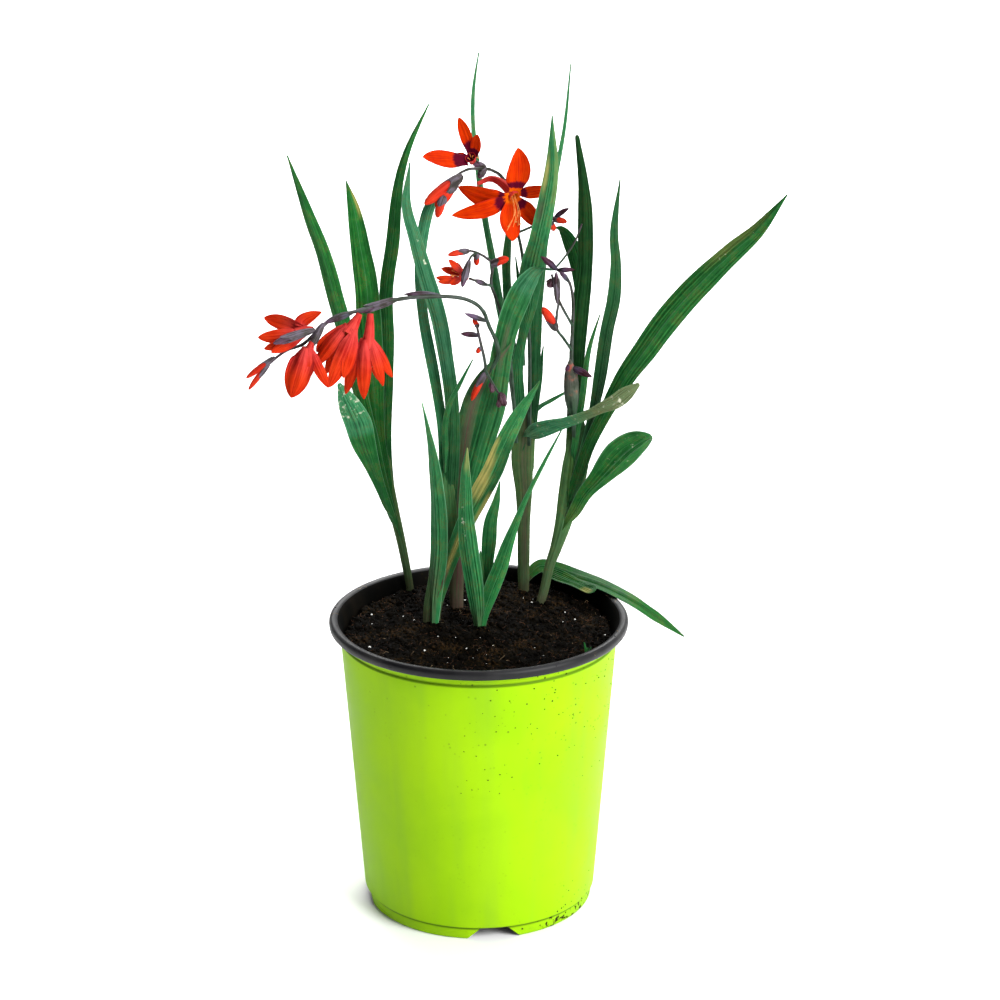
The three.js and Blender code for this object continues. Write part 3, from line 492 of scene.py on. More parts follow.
@dataclass(frozen=True)
class LeafFinish:
    """A ribbed green leaf or stalk, with streaks that run along it and what its tones add."""

    name: str
    dark: Colour = tint(10, 58, 18)
    mid: Colour = tint(20, 86, 30)
    light: Colour = tint(44, 122, 44)
    dusk: Colour = tint(24, 78, 50)
    blue: Colour = tint(68, 134, 98)
    yellow: Colour = tint(158, 148, 82)
    brown: Colour = tint(82, 58, 54)
    pale: Colour = tint(206, 208, 184)
    rust: Colour = tint(78, 70, 30)
    edge: Colour = tint(104, 150, 118)

    def build(self) -> Material:
        """Makes the material.

        Returns:
            The material.
        """
        paint = Paint(self.name)
        across, length = paint.blade()
        yellow, brown, pale, light, blue = paint.tones()
        veins = paint.streaks(4.0, (across, 27.0), (length, 1.0))
        dashes = paint.streaks(3.0, (across, 44.0), (length, 14.0))
        mottle = paint.grain(140.0, 5.0, 0.4)
        grit = paint.grain(1300.0, 2.0)
        shade = paint.total((veins, 0.42), (dashes, 0.33), (mottle, 0.25))
        warm = paint.ramp(shade, (0.36, self.dark), (0.5, self.mid), (0.66, self.light))
        # The blue tone mixes in a bluish green: partly the leaves' waxy bloom, partly painted sheen.
        colour = paint.blend(blue, warm, paint.ramp(shade, (0.38, self.dusk), (0.62, self.blue)))
        speckle = paint.total((mottle, 0.55), (grit, 0.45))
        colour = paint.blend(paint.span(speckle, 0.5, 0.62, 0.0, 0.4), colour, self.rust)
        centre = paint.apart(across, 0.5)
        rib = paint.plus(paint.span(centre, 0, 0.03, 0.16, 0), paint.span(centre, 0.45, 0.495, 0, 0.35))
        colour = paint.blend(rib, colour, self.edge)
        uneven = paint.span(veins, 0.36, 0.62, 0.6, 1.15)
        # The light tone paints light and shade: each leaf is a lighter or darker copy of one green.
        colour = paint.mark(paint.light(colour, light), yellow, uneven, self.yellow)
        colour = paint.mark(colour, brown, uneven, self.brown)
        ragged = paint.span(paint.plus(paint.grain(420.0), pale), 0.85, 1.1)
        colour = paint.blend(ragged, colour, self.pale)
        relief = paint.bump(paint.total((veins, 0.7), (dashes, 0.3)), 0.34, 0.8)
        return paint.shade(colour, paint.span(dashes, 0.3, 0.7, 0.42, 0.62), relief, 0.08)


@dataclass(frozen=True)
class StemFinish:
    """A spray's stem or bract: its tones are green, red, pale, light and orange."""

    name: str
    slate: Colour = tint(12, 13, 24)
    dusk: Colour = tint(74, 72, 112)
    green: Colour = tint(22, 40, 28)
    fresh: Colour = tint(62, 90, 66)
    red: Colour = tint(132, 30, 34)
    pale: Colour = tint(150, 138, 132)
    orange: Colour = tint(222, 62, 18)

    def build(self) -> Material:
        """Makes the material.

        Returns:
            The material.
        """
        paint = Paint(self.name)
        across, length = paint.blade()
        green, red, pale, light, orange = paint.tones()
        lines = paint.streaks(4.0, (across, 7.0), (length, 3.0))
        broad = paint.grain(200.0, 4.0)
        shade = paint.total((lines, 0.6), (broad, 0.4))
        colour = paint.ramp(shade, (0.44, self.slate), (0.57, self.dusk))
        colour = paint.blend(green, colour, paint.ramp(shade, (0.36, self.green), (0.66, self.fresh)))
        uneven = paint.span(shade, 0.36, 0.6, 0.3, 1.2)
        colour = paint.mark(paint.mark(colour, red, uneven, self.red), pale, uneven, self.pale)
        blotch = paint.span(paint.plus(orange, paint.times(broad, 0.6)), 0.42, 0.72)
        colour = paint.light(paint.blend(blotch, colour, self.orange), light)
        rough = paint.span(broad, 0.3, 0.7, 0.42, 0.62)
        return paint.shade(colour, rough, paint.bump(lines, 0.45, 0.8), 0.12)


@dataclass(frozen=True)
class PetalFinish:
    """A satin petal: its tones are maroon, back, throat and light. Red buds wear it as well."""

    name: str
    body: Colour = tint(184, 42, 0)
    deep: Colour = tint(154, 24, 0)
    bright: Colour = tint(194, 56, 2)
    back: Colour = tint(200, 66, 62)
    shadow: Colour = tint(140, 22, 26)
    maroon: Colour = tint(78, 4, 28)
    throat: Colour = tint(208, 92, 4)

    def build(self) -> Material:
        """Makes the material.

        Returns:
            The material.
        """
        paint = Paint(self.name)
        across, length = paint.blade()
        maroon, back, throat, light, _ = paint.tones()
        veins = paint.streaks(4.0, (across, 22.0), (length, 1.6))
        broad = paint.grain(110.0, 3.0)
        shade = paint.total((veins, 0.6), (broad, 0.4))
        colour = paint.ramp(shade, (0.36, self.deep), (0.5, self.body), (0.68, self.bright))
        colour = paint.blend(back, colour, paint.ramp(shade, (0.38, self.shadow), (0.6, self.back)))
        centre = paint.apart(across, 0.5)
        lines = paint.plus(paint.span(centre, 0.0, 0.05, 0.2, 0.0), paint.span(centre, 0.44, 0.5, 0.0, 0.5))
        patch = paint.span(paint.plus(maroon, paint.times(veins, 0.9)), 0.78, 1.15)
        for share, over in ((lines, self.shadow), (patch, self.maroon), (throat, self.throat)):
            colour = paint.blend(share, colour, over)
        colour = paint.light(colour, light, 1.0, 0.5)
        return paint.shade(colour, paint.span(broad, 0.3, 0.7, 0.45, 0.6), paint.bump(veins, 0.4, 0.7), 0.02)


@dataclass(frozen=True)
class PlasticFinish:
    """Moulded plastic with dust, faint streaks, scuffs, dirt where the potting left it, and painted shade
    along its grooves.
    """

    name: str
    colour: Colour
    worn: Colour
    roughness: float
    dust: Colour
    dust_share: float
    dirt_share: float
    gloss: float
    # Heights of grooves, in metres, and the colour of the painted shade drawn along each one.
    grooves: tuple[float, ...] = ()
    groove_shade: Colour = tint(52, 82, 0)
    dirt: Colour = tint(40, 34, 14)

    def build(self) -> Material:
        """Makes the material.

        Returns:
            The material.
        """
        paint = Paint(self.name)
        x, y, z = paint.parts(paint.place)
        broad = paint.grain(17.0, 4.0, 0.4)
        fine = paint.grain(900.0, 2.0)
        streak = paint.streaks(3.0, (x, 60.0), (y, 60.0), (z, 5.0))
        colour = paint.blend(paint.span(broad, 0.35, 0.7), self.colour, self.worn)
        dusty = paint.times(paint.span(streak, 0.42, 0.78), self.dust_share)
        colour = paint.blend(dusty, colour, self.dust)
        # Painted shade: a darker green line along each groove, where the ledge or the step shades the wall.
        for height in self.grooves:
            line = paint.span(paint.apart(z, height), 0.0003, 0.0015, 0.75, 0)
            colour = paint.blend(line, colour, self.groove_shade)
        side = paint.times(paint.span(x, -0.1, 0.05), paint.span(z, 0.1, 0.15, 0.12, 1.0))
        foot = paint.times(paint.span(x, 0.005, 0.04), paint.span(z, 0.022, 0.006, 0.0, 2.2))
        foot = paint.times(foot, paint.span(y, 0.01, -0.01))
        crumbs = paint.span(paint.spots(260.0), 0.13, 0.2, 1.0, 0.0)
        sparse = paint.span(paint.grain(95.0, 1.0), 0.47, 0.6)
        dirt = paint.times(paint.times(crumbs, sparse), paint.calc("MAXIMUM", side, foot))
        caked = paint.span(paint.plus(paint.grain(330.0, 4.0), foot), 2.72, 2.84)
        dirt = paint.calc("MULTIPLY", paint.calc("MAXIMUM", dirt, caked), self.dirt_share, clamp=True)
        rough = paint.span(broad, 0.3, 0.7, self.roughness - 0.06, self.roughness + 0.08)
        rough = paint.plus(rough, paint.times(dirt, 0.4))
        relief = paint.bump(paint.total((fine, 0.25), (streak, 0.6)), 0.12, 0.5)
        return paint.shade(paint.blend(dirt, colour, self.dirt), rough, relief, self.gloss)


@dataclass(frozen=True)
class EarthFinish:
    """Moist potting mix: dark peat with red-brown and black flecks."""

    name: str
    dark: Colour = tint(3, 2, 1)
    mid: Colour = tint(9, 7, 3)
    warm: Colour = tint(44, 31, 13)

    def build(self) -> Material:
        """Makes the material.

        Returns:
            The material.
        """
        paint = Paint(self.name)
        broad = paint.grain(60.0, 4.0)
        fine = paint.grain(620.0, 4.0)
        shade = paint.total((broad, 0.45), (fine, 0.55))
        colour = paint.ramp(shade, (0.42, self.dark), (0.55, self.mid), (0.66, self.warm))
        return paint.shade(colour, paint.span(fine, 0.3, 0.7, 0.7, 0.95), paint.bump(fine, 0.8, 0.9), 0.03)


@dataclass(frozen=True)
class SpeckFinish:
    """Small matt things of one kind, such as perlite, root hairs or filaments."""

    name: str
    low: Colour
    high: Colour
    scale: float = 900.0

    def build(self) -> Material:
        """Makes the material.

        Returns:
            The material.
        """
        paint = Paint(self.name)
        fine = paint.grain(self.scale, 3.0)
        colour = paint.blend(paint.span(fine, 0.35, 0.65), self.low, self.high)
        return paint.shade(colour, 0.75, paint.bump(fine, 0.15, 0.6), 0.2)


class Mark(Enum):
    """What a patch adds to a leaf."""

    YELLOW = 0
    BROWN = 1
    PALE = 2
    # Painted light and shade: lighter where a leaf catches the light, darker on its shaded side.
    LIGHT = 3
    # A bluish green: partly the leaves' waxy bloom, partly a painted sheen of reflected light.
    BLUE = 4


YELLOW, BROWN, PALE, LIGHT, BLUE = Mark


@dataclass(frozen=True)
class Patch:
    """A soft-edged patch on a leaf, placed by shares of its length and width."""

    mark: Mark
    start: float
    end: float
    strength: float = 1.0
    left: float = -0.2
    right: float = 1.2
    soft: float = 0.03

    def share(self, t: float, across: Points) -> Points:
        """Tells how much of the mark each place gets.

        Args:
            t: The share of the leaf's length.
            across: Shares of its width.

        Returns:
            The mark's strength at each place.
        """
        result = self.strength
        limits = ((t, self.start, self.end, self.soft), (across, self.left, self.right, 0.08))
        for place, low, high, soft in limits:
            result = result * smooth(place, low - soft, low + soft)
            result = result * (1 - smooth(place, high - soft, high + soft))
        return result


@dataclass(frozen=True)
class Leaf:
    """One sword-shaped leaf along rows of (x, y, z, width), turning its face as it climbs."""

    face: Pair = (0.0, 0.0)
    # How bright the leaf is painted: painted light and shade, set leaf by leaf.
    light: float = 0.5
    # How much bluish green the leaf gets: partly its waxy bloom, partly painted sheen.
    blue: float = 0.12
    rib: Rows = ()
    patches: tuple[Patch, ...] = ()
    fold: float = 0.1
    columns: int = 15
    edge: float = 0.42
    core: float = 0.95

    def side(self, t: float, tangent: Points) -> Points:
        """Gives the direction of the leaf's width, before it is set square to its run."""
        turn = math.radians(self.face[0] + (self.face[1] - self.face[0]) * t)
        return np.array((math.cos(turn), math.sin(turn), 0.0))

    def grow(self, surface: Surface, number: int, hold: Points | None = None) -> None:
        """Adds the leaf to a shoot's surface.

        Args:
            surface: The shoot's surface.
            number: The leaf's number, which sets its own ripple and streaks.
            hold: The step from its root to the middle of the stalk that it leaves, if it leaves one.
        """
        rows = np.array(self.rib, float)
        length = run_length(rows)
        steps = max(26, int(length / 2.4))
        u = np.linspace(-1, 1, self.columns)
        reach = np.abs(u)
        keel = 1 - (np.sqrt(u * u + 0.012) - math.sqrt(0.012)) / (math.sqrt(1.012) - math.sqrt(0.012))
        thick = self.edge + (self.core - self.edge) * (1 - reach) ** 1.6
        pleats = np.cos(2 * math.pi * (2.6 + 0.3 * (number % 3)) * reach + number) * (1 - reach**4)
        sheet = Sheet()
        blunt = rows[-1, 3] / 2
        ends = 1 - blunt / length * (1 - np.sin(np.radians((0, 25, 45, 62, 76, 90))))
        shares = np.linspace(0, 1, steps + 1)
        if blunt > 0.5:
            shares = np.concatenate([shares[shares < ends[0] - 0.004], ends])
        for t in shares:
            row = along(rows, t)
            tangent = heading(rows, t)
            across, normal = squared(self.side(t, tangent), tangent)
            half = max(row[3], 0.7) / 2
            if t > ends[0] and blunt > 0.5:
                half *= math.sqrt(max(0.02, 1 - ((t - ends[0]) / (1 - ends[0])) ** 2))
            run = t * length
            fold = self.fold + 0.2 * (1 - float(smooth(t, 0.0, 0.22)))
            calm = float(smooth(t, 0.0, 0.12) * (1 - smooth(t, 0.93, 1.0)))
            height = -fold * 2 * half * keel + 0.055 * half * pleats * calm
            left, right = math.sin(run / 8.3 + number * 1.9), math.sin(run / 10.1 + number * 2.7 + 1)
            height = height + 0.05 * half * calm * reach**3 * np.where(u < 0, left, right)
            left, right = math.sin(run / 5.1 + number), math.sin(run / 4.3)
            spread = u * half * (1 + 0.012 * calm * np.where(u < 0, left, right))
            centre = row[:3]
            if hold is not None:
                sunk = 1 - float(smooth(run, 0, 12))
                centre = centre + hold * sunk
                spread = spread * (1 - 0.6 * sunk)
            base = centre + across * spread[:, None] + normal * height[:, None]
            tone = np.zeros((self.columns, 5))
            # The light tone is painted light and shade.
            tone[:, 3] = self.light
            # The blue tone: partly waxy bloom, partly painted sheen.
            tone[:, 4] = self.blue
            for patch in self.patches:
                tone[:, patch.mark.value] += patch.share(float(t), (u + 1) / 2)
            tone = np.clip(tone, 0, 1.4)
            sheet.add(base, normal * (thick / 2)[:, None], run / 100 + number * 7.3, tone, tone)
        surface.blade(sheet)


@dataclass(frozen=True)
class LyingLeaf(Leaf):
    """A spent leaf that lies over the rim, and leans to the open side on both sides of it."""

    lean: float = 0.8

    def side(self, t: float, tangent: Points) -> Points:
        """Gives the direction of the leaf's width: square to its run, and level at the rim."""
        return unit(np.cross(UP, tangent)) + UP * self.lean * math.cos(math.pi * (t - 0.2)) ** 2


def soil_height(x: Points | float, y: Points | float) -> Points | float:
    """Gives the height of the soil's surface at places along x and y, without its crumbs."""
    waves = np.sin(x * 0.21 + 1.3) * np.cos(y * 0.17) + np.sin(x * 0.09 - y * 0.13 + 2)
    return 161.5 + 0.04 * y + 0.4 * (waves + np.sin(x * 0.43 + y * 0.37))


# Leaves that start higher than this leave their stalk. The others stand or lie in the soil.
LOWEST_SHEATH = 185.0


@dataclass(frozen=True)
class Shoot:
    """A fan of leaves on a flattened stalk of sheaths that stands in the soil."""

    node: str
    foot: Row
    stalk: Rows
    leaves: tuple[Leaf, ...]
    purple: float = 0.5
    stripe: float = 0.0
    olive: float = 0.25
    flat: float = 0.5
    collar: float = 2.2
    depth: float = 14.0
    sides: int = 30

    def round(self, row: Points, across: Points, normal: Points, run: float, share: float) -> Points:
        """Makes one ring of the stalk, with its ribs and the edge of the sheath round it.

        Args:
            row: The place and width.
            across: The direction of the width.
            normal: The direction of the depth.
            run: How far up the stalk, in millimetres.
            share: The same as a share of the stalk, which grows flatter as it climbs.

        Returns:
            The ring's points.
        """
        turn = turns(self.sides)
        lap = (turn / (2 * math.pi) + 0.31 - run * 0.004) % 1
        wide = max(row[3], 0.5) / 2 * (0.93 + 0.1 * lap**2 + 0.03 * np.cos(9 * turn + 0.6))
        return ring(row[:3], across, normal, wide, wide * self.flat * (1 - 0.45 * share), self.sides)

    def raise_stalk(self, surface: Surface) -> None:
        """Adds the stalk, from under the soil to where its leaves part.

        Args:
            surface: The shoot's surface.
        """
        x, y, width = self.foot
        top = float(soil_height(x, y)) + self.collar
        rows = np.array([(x, y, top, width), *self.stalk], float)
        across, normal = np.array((1.0, 0, 0)), np.array((0, 1.0, 0))
        runs = [-self.depth, -9.0, -5.0, -2.0]
        rings = [self.round(np.array((x, y, top + run, width)), across, normal, run, 0) for run in runs]
        length = run_length(rows)
        for t in np.linspace(0, 1, max(10, int(length / 2.2))):
            tangent = UP if t == 0 else heading(rows, t)
            across, normal = squared(across, tangent)
            rings.append(self.round(along(rows, t), across, normal, t * length, t))
            runs.append(t * length)
        end = along(rows, 1.0)
        for ahead, share in ((2.5, 0.9), (6.0, 0.7), (9.5, 0.46), (12.5, 0.24), (14.5, 0.08)):
            row = np.array((*(end[:3] + tangent * ahead), end[3] * share))
            rings.append(self.round(row, across, normal, length + ahead, 1 + ahead / 20))
            runs.append(length + ahead)
        place, run = mirrored(self.sides), np.array(runs)[:, None]
        rise = smooth(run, -3, 0.75 * length)
        middle = np.exp(-(((place - 0.45) / 0.17) ** 2))
        tones = np.zeros((len(rings), self.sides, 5))
        tones[:, :, 0] = self.olive * (0.3 + 0.5 * rise) * (1 - 0.5 * middle)
        tones[:, :, 1] = self.purple * (1 - 0.8 * rise) + self.stripe * middle * smooth(run, 6, 40)
        # Light tone: the stalk is darker over its lowest 16 mm, by the soil.
        tones[:, :, 3] = 0.22 + 0.24 * smooth(run, 0, 16)
        tones[:, :, 4] = 0.35
        surface.shell(np.array(rings), gridded(place * 0.8 + 0.1, run[:, 0] / 100 + x), tones)

    def hold(self, leaf: Leaf) -> Points | None:
        """Gives the step from a leaf's root to the middle of the stalk.

        Args:
            leaf: The leaf.

        Returns:
            The step, or None for a root that is in the soil or lies on it.
        """
        root = np.array(leaf.rib[0][:3], float)
        if root[2] < LOWEST_SHEATH:
            return None
        rows = np.array(self.stalk, float)
        middle = [float(np.interp(root[2], rows[:, 2], rows[:, k])) for k in (0, 1)]
        return np.array((*middle, root[2])) - root

    def build(self, finish: LeafFinish) -> Object:
        """Makes the shoot as one piece that replaces its node.

        Args:
            finish: The leaves' material.

        Returns:
            The piece.
        """
        surface = Surface()
        self.raise_stalk(surface)
        for number, leaf in enumerate(self.leaves):
            leaf.grow(surface, number + len(self.node), self.hold(leaf))
        item = surface.piece(f"{self.node}_leaves", [finish])
        declare(item, "leaf", self.node)
        return item


class Kind(Enum):
    """What a bud on a spray is."""

    BRACT = "bract"
    CALYX = "calyx"
    DARK = "dark"
    RED = "red"
    SHEATH = "sheath"
    WITHERED = "withered"


BRACT, CALYX, DARK, RED, SHEATH, WITHERED = Kind


class SprayPart(IntEnum):
    """A spray's materials, in order."""

    STEM = 0
    BUD = 1


# How full each kind of bud is from its foot to its tip, as (share of length, share of width).
BUD_FORMS: dict[Kind, Rows] = {
    BRACT: ((0, 0.3), (0.08, 0.5), (0.3, 0.82), (0.5, 0.88), (0.74, 0.66), (0.9, 0.32), (1, 0.05)),
    CALYX: ((0, 0.28), (0.08, 0.46), (0.3, 0.74), (0.55, 0.8), (0.8, 0.62), (0.94, 0.38), (1, 0.12)),
    DARK: ((0, 0.34), (0.1, 0.58), (0.35, 0.86), (0.62, 0.8), (0.85, 0.5), (0.96, 0.22), (1, 0.06)),
    RED: ((0, 0.3), (0.1, 0.6), (0.35, 0.92), (0.6, 1.0), (0.8, 0.84), (0.94, 0.5), (1, 0.16)),
    SHEATH: ((0, 0.3), (0.12, 0.6), (0.33, 0.95), (0.55, 1.0), (0.76, 0.86), (0.92, 0.42), (1, 0.1)),
    WITHERED: ((0, 0.4), (0.15, 0.7), (0.4, 1.0), (0.6, 0.85), (0.8, 0.9), (0.95, 0.5), (1, 0.2)),
}

# Each kind's tones at its foot and at its tip: green, red, pale, light and orange, or on a
# red bud's petals maroon, back, throat and light.
BUD_TONES: dict[Kind, tuple[Row, Row]] = {
    BRACT: ((0.6, 0.05, 0.0, 0.42, 0.0), (0.0, 0.2, 0.1, 0.36, 0.0)),
    CALYX: ((0.7, 0.0, 0.0, 0.4, 0.0), (0.1, 0.25, 0.1, 0.32, 0.0)),
    DARK: ((0.3, 0.1, 0.0, 0.2, 0.0), (0.0, 0.4, 0.0, 0.16, 0.0)),
    RED: ((0.1, 0.6, 0.0, 0.36, 0.0), (0.0, 0.3, 0.0, 0.5, 0.0)),
    SHEATH: ((1.0, 0.0, 0.0, 0.5, 0.0), (0.85, 0.1, 0.1, 0.42, 0.14)),
    WITHERED: ((0.2, 0.3, 0.1, 0.2, 0.0), (0.0, 0.4, 0.2, 0.24, 0.05)),
}


@dataclass(frozen=True)
class Bud:
    """A bud, bract or calyx on a spray, from its foot to its tip."""

    start: Row
    end: Row
    width: float
    kind: Kind
    tip_tone: Row | None = None
    sides: int = 18

    def rings(self, form: Rows, grow: float, levels: int, seed: float) -> tuple[Points, Points]:
        """Makes the rings of one spindle along the bud.

        Args:
            form: How full it is, as rows of (share of length, share of width).
            grow: How much further out it stands.
            levels: How many rings it has.
            seed: A number that sets its ridges.

        Returns:
            The rings, and their shares of the bud's length.
        """
        start, end = np.array(self.start, float), np.array(self.end, float)
        axis = unit(end - start)
        across = unit(np.cross(axis, UP if abs(axis[2]) < 0.9 else np.array((0, 1.0, 0))))
        normal = np.cross(across, axis)
        turn = turns(self.sides)
        shares = np.linspace(form[0][0], form[-1][0], levels)
        fullness = np.interp(shares, [row[0] for row in form], [row[1] for row in form])
        lobes = 3 if self.kind in (RED, DARK) else 5
        depth = {WITHERED: 0.16, BRACT: 0.15, CALYX: 0.1}.get(self.kind, 0.05)
        rings = []
        for share, full in zip(shares, fullness):
            ripple = 1 + depth * np.cos(lobes * turn + seed + 0.9 * share)
            if self.kind is WITHERED:
                ripple = ripple + 0.12 * np.sin(3 * turn + 9 * share + seed)
            radius = (self.width / 2 * full + grow) * ripple
            bend = 0.05 * self.width * math.sin(math.pi * share)
            centre = start + (end - start) * share + normal * bend
            rings.append(ring(centre, across, normal, radius, radius, self.sides))
        return np.array(rings), shares

    def spots(self, shares: Points, seed: float) -> Points:
        """Gives the places on a spindle."""
        return gridded(mirrored(self.sides), shares * 0.6 + seed)

    def grow(self, surface: Surface, number: int) -> None:
        """Adds the bud to a spray's surface.

        Args:
            surface: The spray's surface.
            number: The bud's number, which sets its ridges and streaks.
        """
        seed = number * 1.7
        foot, tip = BUD_TONES[self.kind]
        rings, shares = self.rings(BUD_FORMS[self.kind], 0.0, 17, seed)
        tones = blended(foot, self.tip_tone or tip, smooth(shares, 0.1, 0.85))
        finish = SprayPart.BUD if self.kind is RED else SprayPart.STEM
        surface.shell(rings, self.spots(shares, seed), tones, finish)
        if self.kind in (RED, CALYX):
            self.cup(surface, seed)

    def cup(self, surface: Surface, seed: float) -> None:
        """Adds the toothed cup of bracts round the bud's lower half.

        Args:
            surface: The spray's surface.
            seed: The bud's own number.
        """
        reach = 0.3 if self.kind is RED else 0.6
        girth = 0.84 if self.kind is CALYX else 1.0
        cup = ((0, 0.34), (0.2, 0.66), (0.5, 0.88), (0.8, 0.98), (1, 1.0))
        form = tuple((share * reach, full * girth) for share, full in cup)
        outside, shares = self.rings(form, 0.16, 9, seed)
        axis = np.array(self.end, float) - np.array(self.start, float)
        teeth = (0.5 + 0.5 * np.cos(2 * turns(self.sides) + seed)) ** 1.4 * 0.24
        for k, share in enumerate(shares / reach):
            outside[k] = outside[k] + axis * (teeth * max(0.0, share - 0.4) / 0.6)[:, None]
        centre = outside.mean(1, keepdims=True)
        inside = (centre + (outside - centre) * 0.86)[::-1]
        rings = np.concatenate([outside, inside])
        places = np.concatenate([shares, shares[::-1]])
        tone = np.array((0.35, 0.1, 0.15, 0.42, 0.0))
        surface.shell(rings, self.spots(places, seed + 3), tone, SprayPart.STEM)


@dataclass(frozen=True)
class Spray:
    """A branching flower stem with its buds, bracts and calyces."""

    node: str
    stems: tuple[Rows, ...]
    buds: tuple[Bud, ...]
    green: tuple[float, float] = (0.95, 0.55)
    sides: int = 12

    def stem(self, surface: Surface, rows: Points, number: int) -> None:
        """Adds one stem.

        Args:
            surface: The spray's surface.
            rows: The stem's run, as (x, y, z, width).
            number: The stem's number, which sets its streaks.
        """
        length = run_length(rows)
        steps = max(8, int(length / 1.8))
        across = np.array((1.0, 0.0, 0.0))
        rings, shares = [], np.linspace(0, 1, steps + 1)
        for t in shares:
            row = along(rows, t)
            across, normal = squared(across, heading(rows, t))
            bead = 0.09 * math.exp(-(((t * (len(rows) - 1) + 0.5) % 1 - 0.5) ** 2) / 0.02)
            radius = max(row[3], 0.5) / 2 * (1 + bead + 0.05 * np.cos(5 * turns(self.sides) + 3 * t))
            rings.append(ring(row[:3], across, normal, radius, radius, self.sides))
        spots = gridded(mirrored(self.sides) * 0.7, shares * length / 60 + number)
        tones = blended((self.green[0], 0, 0, 0.52, 0), (self.green[1], 0.15, 0, 0.42, 0), shares)
        surface.shell(np.array(rings), spots, tones, SprayPart.STEM)

    def build(self, stem: Material, petal: Material) -> Object:
        """Makes the spray as one piece that replaces its node.

        Args:
            stem: The material of stems and bracts.
            petal: The material of red buds.

        Returns:
            The piece.
        """
        surface = Surface()
        for number, rows in enumerate(self.stems):
            self.stem(surface, np.array(rows, float), number)
        for number, bud in enumerate(self.buds):
            bud.grow(surface, number + 1)
        item = surface.piece(f"{self.node}_stems", [stem, petal])
        declare(item, "stem", self.node)
        return item


class BloomPart(IntEnum):
    """A flower's materials, in order."""

    PETAL = 0
    FILAMENT = 1
    ANTHER = 2


# The way the plant's open side is looked at. Petals turn their faces a little towards it.
SIGHT = np.array((0.0, 0.944, -0.329))


